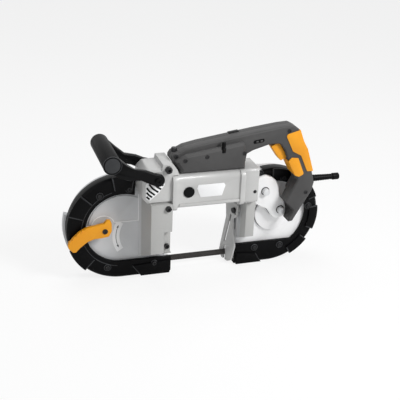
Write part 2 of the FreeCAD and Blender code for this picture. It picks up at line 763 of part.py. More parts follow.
def toothed_disc(teeth, module, width, bore, spot, first_tooth_deg):
    """A straight-toothed gear along +Y. The first tooth points that many degrees up from +X."""
    pitch_radius, step = module * teeth / 2, 2 * math.pi / teeth
    root, tip = pitch_radius - dedendum_share * module, pitch_radius + addendum_share * module
    points = []
    for i in range(teeth):
        middle = math.radians(first_tooth_deg) + i * step
        for radius, share in ((root, -root_share), (tip, -tip_share), (tip, tip_share), (root, root_share)):
            turn = middle + share * step
            points.append(spot + Vector(radius * math.cos(turn), 0, radius * math.sin(turn)))
    disc = Part.Face(Part.makePolygon(points + points[:1])).extrude(Vector(0, width, 0))
    return disc.cut(Part.makeCylinder(bore, width, spot, Vector(0, 1, 0)))


def bearing_deg(spot, other):
    """Direction from one shaft to another, in degrees up from +X."""
    return math.degrees(math.atan2((other[1] - spot[1]).value, (other[0] - spot[0]).value))


def centre_distance(spot, other):
    return math.hypot((other[0] - spot[0]).value, (other[1] - spot[1]).value)


DRIVE = (RIGHT, AXLE)
gear_y, drive_gear_y = (lip_y - gear_front).value, deep(drive_gear_depth).value
first_module = 2 * centre_distance(WORM, IDLE) / (worm_pinion_teeth + idle_teeth)
last_module = 2 * centre_distance(IDLE, DRIVE) / (idle_pinion_teeth + drive_teeth)
worm_module = 2 * (MOTOR_Z - WORM[1] - worm_radius).value / worm_teeth
worm_pitch = math.pi * worm_module


def spot_at(place_xz, y):
    return Vector(place_xz[0].value, y, place_xz[1].value)


def half_step(teeth):
    return 180 / teeth


shape_node("worm_gear", toothed_disc(
    worm_teeth, worm_module, worm_gear_width.value, worm_shaft_radius.value,
    spot_at(WORM, (MOTOR_Y - worm_gear_width / 2).value), 90 + half_step(worm_teeth)))
shape_node("idle_gear", toothed_disc(
    idle_teeth, first_module, gear_width.value, idle_shaft_radius.value,
    spot_at(IDLE, gear_y), bearing_deg(IDLE, WORM) + half_step(idle_teeth)))
shape_node("drive_gear", toothed_disc(
    drive_teeth, last_module, drive_gear_width.value, drive_shaft_radius.value,
    spot_at(DRIVE, drive_gear_y), bearing_deg(DRIVE, IDLE) + half_step(drive_teeth)))


def make_worm():
    """A single-start worm on the motor shaft, its thread crest right above the worm gear."""
    root = worm_radius.value - dedendum_share * worm_module
    tip = worm_radius.value + addendum_share * worm_module
    length = worm_pitch * worm_turns
    start = Vector((WORM[0]).value - length / 2, MOTOR_Y.value, MOTOR_Z.value)
    sunk = root - addendum_share * worm_module / 4
    thread = [Vector(sunk, 0, -root_share * worm_pitch), Vector(tip, 0, -tip_share * worm_pitch),
              Vector(tip, 0, tip_share * worm_pitch), Vector(sunk, 0, root_share * worm_pitch)]
    helix = Part.makeHelix(worm_pitch, length, worm_radius.value)
    ridge = Part.Wire(helix).makePipeShell([Part.makePolygon(thread + thread[:1])], True, True)
    ridge.Placement = Placement(start, ALONG["+X"])
    end = worm_pitch / 2
    core = Part.makeCylinder(root, length + worm_pitch, start - Vector(end, 0, 0), Vector(1, 0, 0))
    bore = Part.makeCylinder(shaft_tip_radius.value, length + worm_pitch, start - Vector(end, 0, 0),
                             Vector(1, 0, 0))
    return shape_node("motor_worm", core.fuse(ridge).cut(bore))


# Motor
shaft_tip_radius = size("motor_tip_radius", 2.8)
motor_half_depth = size("motor_half_depth", 33)
motor_half_height = size("motor_half_height", 34)
motor_corner = size("motor_corner_radius", 13)
motor_bore = size("motor_bore", 29)
motor_flange = size("motor_flange_width", 9)
motor_lip = size("motor_flange_lip", 3.5)
motor_end_wall = size("motor_end_wall", 8)
case_near = size("gear_case_near", 87)
case_far = size("gear_case_far", 57)
motor_bearing_radius = size("motor_bearing_radius", 11)
motor_bearing_width = size("motor_bearing_width", 7)
motor_shaft_radius = size("motor_shaft_radius", 5)
brush_place = size("brush_place", 31)
brush_cap_radius = size("brush_cap_radius", 10.5)
brush_cap_proud = size("brush_cap_proud", 1.5)
brush_cap_depth = size("brush_cap_depth", 6)
brush_half = size("brush_half_width", 4)
commutator_radius = size("commutator_radius", 13)
commutator_half = size("commutator_half_length", 9)
stator_start = size("stator_start", 50)
stator_length = size("stator_length", 58)
stator_wall = size("stator_wall", 8)
coil_overhang = size("coil_overhang", 7)
air_gap = size("air_gap", 0.6)
fan_radius = size("fan_radius", 26)
fan_width = size("fan_width", 9)
fan_blades = 9
pinion_room_radius = size("pinion_room_radius", 22)
fan_blade_wall = size("fan_blade_wall", 1.6)

MOTOR_L = LEFT + throat_front
CASE_L = RIGHT - case_near
CASE_R = RIGHT - case_far
motor_worm = make_worm()


def side_rect(front, back, low, high, rounding):
    """A rounded rectangle in Y and Z."""
    return [corner(front, low, rounding), corner(back, low, rounding),
            corner(back, high, rounding), corner(front, high, rounding)]


def make_motor_housing():
    front, low, high = MOTOR_Y - motor_half_depth, MOTOR_Z - motor_half_height, MOTOR_Z + motor_half_height
    back = PANEL - seat_gap
    body = new_body("motor_barrel", (MOTOR_L, 0, 0), SIDE)
    pad(body, "motor_barrel_pad", CASE_L - MOTOR_L, [side_rect(front, back, low, high, motor_corner)])
    wide = side_rect(front - motor_lip, back, low - motor_lip, high, motor_corner)
    pad(body, "motor_left_flange", motor_flange, [wide])
    pad(body, "motor_right_flange", motor_flange, [wide], height=CASE_L - MOTOR_L - motor_flange)
    bore = rod("motor_bore_tool", motor_bore, (MOTOR_L - overrun, MOTOR_Y, MOTOR_Z),
               CASE_L - MOTOR_L - motor_end_wall + overrun, "+X")
    seat = rod("motor_seat_tool", motor_bearing_radius,
               (CASE_L - motor_end_wall - overrun, MOTOR_Y, MOTOR_Z),
               motor_end_wall + overrun * 2, "+X")
    brush_ports = rod("brush_port_tool", brush_cap_radius,
                      (MOTOR_L + brush_place, front - overrun, MOTOR_Z),
                      back - front + overrun * 2, "+Y")
    gear_room = rod("motor_gear_room", pinion_room_radius,
                    (WORM[0], lip_y - gear_front - clear_gap, WORM[1]),
                    gear_width + clear_gap * 2, "+Y")
    return node(cut("motor_housing_cut", body, bore, seat, brush_ports, gear_room), "motor_housing")


make_motor_housing()
node(group("brush_caps", [
    rod("brush_cap_near", brush_cap_radius, (MOTOR_L + brush_place,
                                             MOTOR_Y - motor_half_depth - brush_cap_proud, MOTOR_Z),
        brush_cap_depth, "+Y"),
    rod("brush_cap_far", brush_cap_radius, (MOTOR_L + brush_place, PANEL - seat_gap, MOTOR_Z),
        brush_cap_depth - brush_cap_proud, "-Y")]), "brush_caps")
BRUSH_X = MOTOR_L + brush_place
node(group("carbon_brushes", [
    block("brush_near", (BRUSH_X - brush_half, MOTOR_Y - motor_half_depth - brush_cap_proud + brush_cap_depth,
                         MOTOR_Z - brush_half),
          (BRUSH_X + brush_half, MOTOR_Y - commutator_radius - clear_gap, MOTOR_Z + brush_half)),
    block("brush_far", (BRUSH_X - brush_half, MOTOR_Y + commutator_radius + clear_gap,
                        MOTOR_Z - brush_half),
          (BRUSH_X + brush_half, PANEL - seat_gap - brush_cap_depth + brush_cap_proud,
           MOTOR_Z + brush_half))]), "carbon_brushes")
core_radius = motor_bore - stator_wall - air_gap
STATOR_X = MOTOR_L + stator_start
node(fuse("stator_whole",
          ring("stator_core", motor_bore - stator_wall, motor_bore - seat_gap, stator_length,
               (STATOR_X, MOTOR_Y, MOTOR_Z), "+X"),
          ring("stator_coils", motor_bore - stator_wall, motor_bore - stator_wall / 2,
               stator_length + coil_overhang * 2,
               (STATOR_X - coil_overhang, MOTOR_Y, MOTOR_Z), "+X")), "stator")
SHAFT_L = MOTOR_L - motor_bearing_width - clear_gap
worm_end = worm_pitch / 2 + worm_pitch * worm_turns / 2
WORM_END = WORM[0] + worm_radius * (worm_end / worm_radius.value)
ROTOR = STATOR_X - SHAFT_L
ROTOR_END = ROTOR + stator_length
winding_radius = core_radius - coil_overhang / 2
node(turned("armature_shape", [
    (0, 0), (motor_shaft_radius, 0), (motor_shaft_radius, ROTOR - coil_overhang),
    (winding_radius, ROTOR - coil_overhang), (winding_radius, ROTOR), (core_radius, ROTOR),
    (core_radius, ROTOR_END), (winding_radius, ROTOR_END), (winding_radius, ROTOR_END + coil_overhang),
    (motor_shaft_radius, ROTOR_END + coil_overhang), (motor_shaft_radius, CASE_L - SHAFT_L + clear_gap),
    (shaft_tip_radius, CASE_L - SHAFT_L + clear_gap), (shaft_tip_radius, WORM_END - SHAFT_L),
    (0, WORM_END - SHAFT_L)], (SHAFT_L, MOTOR_Y, MOTOR_Z), "+X"), "armature")
node(ring("commutator_shape", motor_shaft_radius, commutator_radius, commutator_half * 2,
          (BRUSH_X - commutator_half, MOTOR_Y, MOTOR_Z), "+X"), "commutator")
FAN_X = CASE_L - motor_end_wall - fan_width - clear_gap
fan_hub = ring("fan_hub", motor_shaft_radius, core_radius - coil_overhang, fan_width,
               (FAN_X, MOTOR_Y, MOTOR_Z), "+X")
fan_vanes = []
for i in range(fan_blades):
    vane = doc.addObject("Part::Box", f"fan_vane_{i}")
    bind(vane, Length=fan_width, Width=fan_radius - core_radius + coil_overhang * 2, Height=fan_blade_wall)
    turn = Rotation(Vector(1, 0, 0), 360 * i / fan_blades)
    start = turn.multVec(Vector(0, (core_radius - coil_overhang * 2).value, 0))
    vane.Placement = Placement(Vector(FAN_X.value, MOTOR_Y.value + start.y, MOTOR_Z.value + start.z), turn)
    fan_vanes.append(vane)
node(cut("motor_fan_cut", fuse("motor_fan_whole", fan_hub, *fan_vanes),
         rod("motor_fan_bore", motor_shaft_radius, (FAN_X - overrun, MOTOR_Y, MOTOR_Z),
             fan_width + overrun * 2, "+X")), "motor_fan")
node(group("motor_bearings_group", [
    ring(f"motor_bearing_{i}", motor_shaft_radius + running_gap, motor_bearing_radius, motor_bearing_width,
         (x, MOTOR_Y, MOTOR_Z), "+X")
    for i, x in enumerate((MOTOR_L - motor_bearing_width,
                           CASE_L - motor_bearing_width))]), "motor_bearings")

# Shafts along Y, with bushes and the drive bearing
node(rod("drive_shaft_rod", drive_shaft_radius, (RIGHT, BOSS_Y + boss_wall + clear_gap, AXLE),
         WHEEL_FRONT + drive_hub_front + hub_length + nut_height - BOSS_Y - boss_wall - clear_gap, "+Y"),
     "drive_shaft")
node(ring("drive_nut_shape", drive_shaft_radius, nut_radius + overrun, nut_height - clear_gap,
          (RIGHT, WHEEL_FRONT + drive_hub_front + hub_length, AXLE), "+Y"), "drive_nut")
node(ring("drive_bearing_shape", drive_shaft_radius + running_gap, drive_bearing_radius + running_gap,
          PANEL_BACK - BOSS_Y - boss_wall, (RIGHT, BOSS_Y + boss_wall, AXLE), "+Y"), "drive_bearing")
idle_shaft_back = size("idle_shaft_back", 21)


def pinion_shaft(name, place_xz, start, end, radius, teeth, module, width, pinion_y, other):
    """A shaft along +Y with a pinion cut on it, one tooth of the pinion pointing at the gear it drives."""
    shaft = Part.makeCylinder(radius.value, (end - start).value, spot_at(place_xz, start.value),
                              Vector(0, 1, 0))
    pinion = toothed_disc(teeth, module, width.value, radius.value, spot_at(place_xz, pinion_y),
                          bearing_deg(place_xz, other))
    return shape_node(name, shaft.fuse(pinion).removeSplitter())


pinion_shaft("idle_shaft", IDLE, lip_y - gear_front, deep(idle_shaft_back), idle_shaft_radius,
             idle_pinion_teeth, last_module, drive_gear_width, drive_gear_y, DRIVE)
case_front = size("gear_case_front", 52)
case_wall = size("gear_case_wall", 4)
bush_seat = size("bush_seat_length", 6)
lobe_floor = size("lobe_floor_depth", 1)
BUSH_R = worm_shaft_radius + bush_wall
CASE_Y = lip_y - case_front
pinion_shaft("worm_gear_shaft", WORM, CASE_Y + case_wall + clear_gap, deep(bush_seat - lobe_floor),
             worm_shaft_radius,
             worm_pinion_teeth, first_module, gear_width, gear_y, IDLE)
node(group("shaft_bushes_group", [
    ring("bush_worm_front", worm_shaft_radius + running_gap, BUSH_R, bush_seat,
         (WORM[0], CASE_Y + case_wall, WORM[1]), "+Y"),
    ring("bush_worm_back", worm_shaft_radius + running_gap, BUSH_R, bush_seat,
         (WORM[0], lip_y - lobe_floor, WORM[1]), "+Y"),
    ring("bush_idle", idle_shaft_radius + running_gap, idle_shaft_radius + bush_wall + running_gap,
         PANEL_BACK - BOSS_Y, (IDLE[0], BOSS_Y, IDLE[1]), "+Y")]), "shaft_bushes")

# Gear case and its front cover
case_low = size("gear_case_low", 53)
case_high = size("gear_case_high", 124)
lobe_room = size("worm_lobe_room", 22.6)
wheel_room = size("worm_wheel_room", 16)
cover_front = size("gear_cover_front", 12)
cover_back = size("gear_cover_back", 9)
idle_room = size("idle_room_radius", 27.3)
tail_radius = size("cover_tail_radius", 9)
tail_x = size("cover_tail_x", 10)
tail_z = size("cover_tail_rise", 14)
cover_bolt_radius = size("cover_bolt_radius", 7)
cover_bolt_height = size("cover_bolt_height", 4)
TAIL = (RIGHT + tail_x, AXLE + tail_z)


def tail_quad():
    """The web between the idle lobe and the small lower lobe, its corners on the rims of both."""
    run = Vector((TAIL[0] - IDLE[0]).value, (TAIL[1] - IDLE[1]).value, 0).normalize()
    side_x, side_z = -run.y, run.x
    return [corner(IDLE[0] + idle_boss_radius * side_x, IDLE[1] + idle_boss_radius * side_z),
            corner(IDLE[0] - idle_boss_radius * side_x, IDLE[1] - idle_boss_radius * side_z),
            corner(TAIL[0] - tail_radius * side_x, TAIL[1] - tail_radius * side_z),
            corner(TAIL[0] + tail_radius * side_x, TAIL[1] + tail_radius * side_z)]


def cover_solid(name, back, thickness):
    return fuse(name, plate(name + "_web", [tail_quad()], back, thickness),
                rod(name + "_idle", idle_boss_radius, (IDLE[0], back, IDLE[1]), thickness, "-Y"),
                rod(name + "_tail", tail_radius, (TAIL[0], back, TAIL[1]), thickness, "-Y"))


def make_gear_case():
    """The casting that holds the worm, its wheel and the first pair of gears."""
    box = new_body("gear_box", (CASE_L, 0, 0), SIDE)
    pad(box, "gear_box_pad", CASE_R - CASE_L, [side_rect(
        CASE_Y, PANEL - seat_gap, AXLE + case_low, AXLE + case_high, motor_corner / 2)])
    worm_lobe = rod("worm_lobe", lobe_radius, (WORM[0], PANEL - seat_gap, WORM[1]),
                    lobe_front + panel_depth - seat_gap, "-Y")
    bulge = rod("worm_bulge", wheel_bulge, (WORM[0], lip_y, WORM[1]), wheel_bulge_front, "-Y")
    solid = fuse("gear_case_whole", box, worm_lobe, bulge,
                 cover_solid("case_lobe", BOSS_Y - seat_gap, BOSS_Y - seat_gap - lip_y + cover_back))
    room = block("case_room", (CASE_L - overrun, CASE_Y + case_wall, AXLE + case_low + case_wall),
                 (CASE_R - case_wall, lip_y - lobe_front - overrun, AXLE + case_high - case_wall))
    tools = [room,
             rod("pinion_room", lobe_room, (WORM[0], lip_y - lobe_floor, WORM[1]), gear_front - clear_gap,
                 "-Y"),
             rod("wheel_room", wheel_room, (WORM[0], lip_y - lobe_floor - overrun, WORM[1]),
                 wheel_bulge_front - case_wall - overrun, "-Y"),
             rod("idle_room", idle_room, (IDLE[0], BOSS_Y + overrun, IDLE[1]), lobe_front + panel_depth,
                 "-Y"),
             rod("bush_seat", BUSH_R, (WORM[0], lip_y - lobe_floor + bush_seat, WORM[1]),
                 bush_seat + overrun, "-Y"),
             rod("frame_boss_room", idle_boss_radius + seat_gap, (IDLE[0], PANEL, IDLE[1]),
                 PANEL - BOSS_Y + seat_gap, "-Y"),
             block("motor_side", (CASE_L - lobe_radius, CASE_Y - overrun, AXLE),
                   (CASE_L, PANEL + overrun, AXLE + case_high))]
    seat = ring("bush_boss", BUSH_R, BUSH_R + bush_wall, bush_seat,
                (WORM[0], CASE_Y + case_wall - TOUCH, WORM[1]), "+Y")
    bored = rod("bush_front_seat", BUSH_R, (WORM[0], CASE_Y + case_wall, WORM[1]), bush_seat, "+Y")
    return node(cut("gear_case_bored", fuse("gear_case_final", cut("gear_case_cut", solid, *tools), seat),
                    bored), "gear_case")


make_gear_case()
node(cut("gear_cover_cut", cover_solid("gear_cover_plate", lip_y - cover_back - seat_gap,
                                       cover_front - cover_back - seat_gap),
         rod("gear_cover_lobe_room", lobe_radius + seat_gap, (WORM[0], lip_y, WORM[1]), lobe_front * 2,
             "-Y")), "gear_cover")
node(group("gear_cover_bolts_group", [
    rod(f"cover_bolt_{i}", cover_bolt_radius, (spot[0], lip_y - cover_front, spot[1]), cover_bolt_height,
        "-Y")
    for i, spot in enumerate((IDLE, TAIL))]), "gear_cover_bolts")

# Rubber bumpers round the two housings
bumper_radius = size("front_bumper_radius", 106.5)
bumper_lip = size("front_bumper_lip", 71)
skirt_depth = size("bumper_skirt_depth", 24)
bumper_top = size("front_bumper_top_end", 23.5)
bumper_foot = size("front_bumper_foot_end", 97)
bumper_soft = size("bumper_edge_bevel", 4.5)
rear_bumper_radius = size("rear_bumper_radius", 102.5)
rear_bumper_lip = size("rear_bumper_lip", 76)
rear_bumper_top = size("rear_bumper_top_end", 38)
rear_bumper_foot = size("rear_bumper_foot_end", 72)
rear_bumper_floor = size("rear_bumper_lip_floor", 58)
outline_unit = size("outline_unit", 100)
outline_zero = size("outline_zero", 2)
MID_X = wheel_mid_x + outline_zero


def chord(radius, distance):
    """Half the chord of a circle at a distance from its centre, tied to the radius."""
    return radius * (math.sqrt(radius.value ** 2 - distance.value ** 2) / radius.value)


def front_bumper_outline(inner):
    outer = bumper_radius
    return [corner(LEFT + bumper_foot, AXLE - outer), corner(LEFT, AXLE - outer, bulge=outer),
            corner(LEFT - outer, AXLE, bulge=outer), corner(LEFT, AXLE + outer, bulge=outer),
            corner(LEFT + bumper_top, AXLE + chord(outer, bumper_top)),
            corner(LEFT + bumper_top, AXLE + chord(inner, bumper_top), bulge=-inner),
            corner(LEFT, AXLE + inner, bulge=-inner), corner(LEFT - inner, AXLE, bulge=-inner),
            corner(LEFT, AXLE - inner), corner(LEFT + bumper_foot, AXLE - inner)]


def rear_bumper_outline(inner, floor):
    outer = rear_bumper_radius
    points = [corner(REAR_X - rear_bumper_foot, REAR_Z - outer),
              corner(REAR_X, REAR_Z - outer, bulge=-outer),
              corner(REAR_X + outer, REAR_Z, bulge=-outer), corner(REAR_X, REAR_Z + outer, bulge=-outer),
              corner(REAR_X - rear_bumper_top, REAR_Z + chord(outer, rear_bumper_top)),
              corner(REAR_X - rear_bumper_top, REAR_Z + chord(inner, rear_bumper_top), bulge=inner),
              corner(REAR_X, REAR_Z + inner, bulge=inner), corner(REAR_X + inner, REAR_Z, bulge=inner)]
    if floor.value < inner.value:
        points.append(corner(REAR_X + chord(inner, floor), REAR_Z - floor))
    else:
        points.append(corner(REAR_X, REAR_Z - inner))
    return points + [corner(REAR_X - rear_bumper_foot, REAR_Z - floor)]


def on_circle(centre, radius):
    """Picks the front edges of a bumper that lie on a circle."""
    def test(edge):
        return all(abs(math.hypot(v.X - centre[0].value, v.Y - centre[1].value) - radius.value) < TOUCH
                   for v in edge.Vertexes) and at_height(skirt_depth)(edge)
    return test


def make_bumper(name, ring_outline, skirt_outline, rim, *tools):
    body = plate(name + "_rubber", [skirt_outline], deep(skirt_depth), skirt_depth - panel_depth + seat_gap)
    pad(body, name + "_lip", panel_depth - seat_gap, [ring_outline],
        height=skirt_depth - panel_depth + seat_gap)
    soften(body, name + "_soft", bumper_soft, on_circle(*rim), "Chamfer")
    return node(cut(name + "_cut", body, *tools) if tools else body, name)


make_bumper("front_bumper", front_bumper_outline(bumper_lip), front_bumper_outline(front_radius + seat_gap),
            ((LEFT, AXLE), bumper_radius),
            block("front_bumper_trim", (LEFT, PANEL - seat_gap, AXLE),
                  (LEFT + bumper_radius, BACK, AXLE + front_radius + seat_gap)))
make_bumper("rear_bumper", rear_bumper_outline(rear_bumper_lip, rear_bumper_floor),
            rear_bumper_outline(rear_radius + seat_gap, rear_radius + seat_gap), ((REAR_X, REAR_Z),
                                                                                  rear_bumper_radius),
            rod("bumper_idle_room", idle_boss_radius + clear_gap, (IDLE[0], PANEL + overrun, IDLE[1]),
                panel_depth + lobe_front, "-Y"),
            block("rear_bumper_trim", (REAR_X - rear_bumper_radius, PANEL - seat_gap, AXLE),
                  (REAR_X, BACK, REAR_Z + rear_radius + rear_shift / 2)))
bumper_screw_radius = size("bumper_screw_radius", 3.5)
bumper_screw_height = size("bumper_screw_height", 1.5)
bumper_screw_shares = [
    (-1.993, 0.716), (-1.438, 0.808), (-1.864, -0.80), (-0.933, -0.82), (1.185, 0.905), (1.694, 0.772),
    (2.29, 0.10), (1.725, -0.72), (1.173, -0.72)]


def spread(shares, about=(MID_X, AXLE)):
    """Outline points measured off the saw's front view, as shares of the outline unit."""
    return [corner(about[0] + outline_unit * p[0], about[1] + outline_unit * p[1],
                   outline_unit * p[2] if len(p) > 2 else None) for p in shares]


node(group("bumper_screws_group", [
    rod(f"bumper_screw_{i}", bumper_screw_radius, (p["x"], lip_y, p["y"]), bumper_screw_height, "-Y")
    for i, p in enumerate(spread(bumper_screw_shares))]), "bumper_screws")

# Motor end cap with its air slots
end_cap_shares = [
    (-1.31, 0.82, 0.10), (-1.31, 1.27, 0.12), (-1.20, 1.375, 0.06), (-0.955, 1.385), (-0.94, 1.47),
    (-0.757, 1.47), (-0.692, 1.385), (-0.665, 1.34), (-0.627, 1.246), (-0.757, 1.246), (-0.757, 0.70),
    (-1.20, 0.70, 0.08)]
end_cap_room_shares = [
    (-1.26, 0.75, 0.06), (-1.26, 1.24, 0.08), (-1.17, 1.33, 0.05), (-0.86, 1.33), (-0.86, 0.75)]
cap_back = size("end_cap_back", 6)
cap_depth = size("end_cap_depth", 61)
cap_wall = size("end_cap_wall", 4)
cap_edge = size("end_cap_edge_bevel", 4.5)
cap_edge_reach = size("end_cap_edge_reach", 95)
air_slot_shares = [
    [(-0.983, 1.127), (-0.961, 1.102), (-0.932, 1.083), (-0.946, 1.061), (-0.979, 1.082), (-1.003, 1.109)],
    [(-1.079, 1.108), (-1.031, 1.053), (-0.971, 1.013), (-0.987, 0.991), (-1.049, 1.033), (-1.099, 1.090)],
    [(-1.194, 1.133), (-1.119, 1.034), (-1.015, 0.954), (-1.031, 0.932), (-1.139, 1.014), (-1.216, 1.117)],
    [(-1.227, 1.052), (-1.180, 0.987), (-1.083, 0.906), (-1.101, 0.886), (-1.200, 0.969), (-1.249, 1.036)],
    [(-1.230, 0.962), (-1.190, 0.915), (-1.140, 0.870), (-1.158, 0.850), (-1.210, 0.897), (-1.250, 0.944)],
    [(-1.230, 0.881), (-1.208, 0.856), (-1.181, 0.834), (-1.199, 0.814), (-1.226, 0.836), (-1.250, 0.863)]]
arm_bolt_x = size("handle_bolt_x", 106)
arm_bolt_z = size("handle_bolt_rise", 123)
arm_bolt_radius = size("handle_bolt_radius", 5)
ARM_BOLT = (MID_X - arm_bolt_x, AXLE + arm_bolt_z)
CAP_BACK = deep(cap_back)


def make_end_cap():
    cap = plate("end_cap_shell", [spread(end_cap_shares)], CAP_BACK, cap_depth)
    front = at_height(cap_depth)
    outer = (MID_X - cap_edge_reach).value
    soften(cap, "end_cap_soft", cap_edge, lambda edge: front(edge) and edge.CenterOfMass.x < outer,
           "Chamfer")
    pocket(cap, "end_cap_room", cap_depth - cap_wall * 2, [spread(end_cap_room_shares)],
           height=cap_depth - cap_wall)
    slots = [spread(shares) for shares in air_slot_shares]
    pocket(cap, "end_cap_slots", cap_wall + overrun, slots, height=cap_depth)
    seat = rod("end_cap_bearing_seat", motor_bearing_radius, (MOTOR_L + overrun, MOTOR_Y, MOTOR_Z),
               motor_bearing_width + overrun * 3, "-X")
    bolts = rod("end_cap_bolt_holes", arm_bolt_radius, (ARM_BOLT[0], CAP_BACK + overrun, ARM_BOLT[1]),
                cap_depth + overrun * 2, "-Y")
    return node(cut("motor_end_cap_cut", cap, seat, bolts), "motor_end_cap")


make_end_cap()

# Front handle: a grip across the saw and two arms
grip_x = size("front_grip_x", 194)
grip_z = size("front_grip_rise", 168)
grip_radius = size("front_grip_radius", 16.6)
grip_front = size("front_grip_front", 95)
grip_length = size("front_grip_length", 123)
grip_soft = size("front_grip_soft", 2)
arm_collar = size("arm_collar_radius", 18.6)
arm_end = size("arm_end_radius", 11)
arm_width = size("arm_width", 10)
near_arm_front = size("near_arm_front", 72)
far_arm_back = size("far_arm_back", 18)
arm_head = size("arm_bolt_head_radius", 9)
arm_head_height = size("arm_bolt_head_height", 4)
near_arm_shares = [
    (-1.98, 1.49), (-1.60, 1.31), (-1.38, 1.26), (-1.10, 1.125), (-1.02, 1.33), (-1.13, 1.37),
    (-1.28, 1.44), (-1.50, 1.49), (-1.80, 1.83)]
GRIP = (MID_X - grip_x, AXLE + grip_z)


def make_arm(name, front, spacer_from, spacer_to):
    """A handle arm: collar round the grip, a bent plate, and a boss on the motor end cap."""
    back = front + arm_width
    arm = fuse(name + "_whole", plate(name + "_plate", [spread(near_arm_shares)], back, arm_width),
               rod(name + "_collar", arm_collar, (GRIP[0], back, GRIP[1]), arm_width, "-Y"),
               rod(name + "_boss", arm_end, (ARM_BOLT[0], spacer_to, ARM_BOLT[1]), spacer_to - spacer_from,
                   "-Y"))
    grip_hole = rod(name + "_grip_hole", grip_radius, (GRIP[0], back + overrun, GRIP[1]),
                    arm_width + overrun * 2, "-Y")
    bolt_hole = rod(name + "_bolt_hole", arm_bolt_radius, (ARM_BOLT[0], spacer_to + overrun, ARM_BOLT[1]),
                    spacer_to - spacer_from + overrun * 2, "-Y")
    return node(cut(name + "_cut", arm, grip_hole, bolt_hole), name)


NEAR_ARM = lip_y - near_arm_front
FAR_ARM = deep(far_arm_back) - arm_width
CAP_FRONT = CAP_BACK - cap_depth
make_arm("front_handle_arm_near", NEAR_ARM, NEAR_ARM, CAP_FRONT - seat_gap)
make_arm("front_handle_arm_far", FAR_ARM, CAP_BACK + seat_gap, FAR_ARM + arm_width)
grip_tube = turned("front_grip_tube", [
    (0, 0), (grip_radius - grip_soft, 0), (grip_radius, grip_soft), (grip_radius, grip_length - grip_soft),
    (grip_radius - grip_soft, grip_length), (0, grip_length)], (GRIP[0], lip_y - grip_front, GRIP[1]), "+Y")
node(grip_tube, "front_handle_grip")
node(group("handle_bolts_group", [
    fuse("bolt_near", rod("bolt_near_head", arm_head, (ARM_BOLT[0], NEAR_ARM, ARM_BOLT[1]), arm_head_height,
                          "-Y"),
         rod("bolt_near_shank", arm_bolt_radius, (ARM_BOLT[0], NEAR_ARM, ARM_BOLT[1]),
             CAP_FRONT + cap_wall - NEAR_ARM, "+Y")),
    fuse("bolt_far", rod("bolt_far_head", arm_head, (ARM_BOLT[0], FAR_ARM + arm_width, ARM_BOLT[1]),
                         arm_head_height, "+Y"),
         rod("bolt_far_shank", arm_bolt_radius, (ARM_BOLT[0], FAR_ARM + arm_width, ARM_BOLT[1]),
             FAR_ARM + arm_width - CAP_BACK + cap_wall, "-Y"))]), "handle_bolts")

# Top cover and rear handle in two shells
shell_shares = [
    (-0.62, 1.246), (-0.66, 1.35), (-0.745, 1.472), (-0.745, 1.53), (-0.70, 1.60, 0.03), (-0.62, 1.62, 0.03),
    (-0.48, 1.69, 0.06), (-0.22, 1.745, 0.2), (0.86, 1.915, 0.3), (1.38, 1.985, 0.2), (1.61, 2.0, 0.1),
    (1.74, 1.93, 0.06), (1.84, 1.67, 0.1), (1.94, 1.50, 0.1), (2.06, 1.15, 0.1), (2.165, 0.80, 0.06),
    (2.13, 0.62, 0.06), (1.94, 0.29, 0.1), (1.755, 0.0, 0.04), (1.66, 0.0, 0.03), (1.63, 0.10, 0.03),
    (1.68, 0.26, 0.06), (1.57, 0.43, 0.03), (1.81, 0.87, 0.05), (1.58, 1.29, 0.05), (1.48, 1.52, 0.1),
    (1.38, 1.655, 0.08), (1.15, 1.65, 0.1), (0.84, 1.56, 0.1), (0.72, 1.50), (0.68, 1.246)]
cover_shares = [
    (-0.60, 1.246), (-0.60, 1.33), (-0.70, 1.49), (-0.50, 1.60, 0.08), (0.645, 1.78, 0.08),
    (0.66, 1.246)]
cover_room_shares = [
    (-0.55, 1.29), (-0.55, 1.40), (-0.46, 1.54), (0.58, 1.70), (0.60, 1.29)]
shell_mid = size("shell_mid_forward", 25)
grip_half = size("grip_half_width", 17)
cover_half = size("cover_half_width", 29)
shell_edge = size("shell_edge_bevel", 2.4)
cover_edge = size("cover_edge_bevel", 5)
shell_wall = size("shell_wall", 4)
parting = size("shell_parting", 0.05)
boot_radius = size("boot_radius", 7)
boot_bore = size("boot_bore_radius", 4)
boot_x = size("boot_start_x", 206)
boot_z = size("boot_rise", 82)
boot_length = size("boot_length", 70)
boot_tip = size("boot_tip_radius", 5.3)
boot_socket = size("boot_socket_length", 14)
boot_bead = size("boot_bead", 1.6)
trigger_x = size("trigger_x", 140)
trigger_z = size("trigger_rise", 145)
trigger_half = size("trigger_half_width", 9)
trigger_turn_deg = -29.7
trigger_unit = size("trigger_unit", 20)
trigger_shares = [
    (-0.42, 1.0, 0.1), (-0.30, -0.40, 0.3), (-0.20, -0.88, 0.1), (0.5, -0.88), (0.5, 1.0)]
switch_low_share, switch_high_share = (1.64, 1.40), (1.77, 1.66)
switch_half = size("switch_half_width", 9)
foot_x = size("handle_foot_x", 177.5)
foot_z = size("handle_foot_rise", 15.5)
foot_radius = size("handle_foot_radius", 5.5)
foot_clear_x = size("handle_foot_clear_x", 171.5)
foot_clear_z = size("handle_foot_clear_rise", 76)
SHELL_Y = lip_y - shell_mid
TRIGGER = (MID_X + trigger_x, SHELL_Y, AXLE + trigger_z)
TRIGGER_TURN = Rotation(Vector(0, 1, 0), trigger_turn_deg) * FRONT
SWITCH_LOW = (MID_X + outline_unit * switch_low_share[0], SHELL_Y - switch_half,
              AXLE + outline_unit * switch_low_share[1])
SWITCH_HIGH = (MID_X + outline_unit * switch_high_share[0], SHELL_Y + switch_half,
               AXLE + outline_unit * switch_high_share[1])


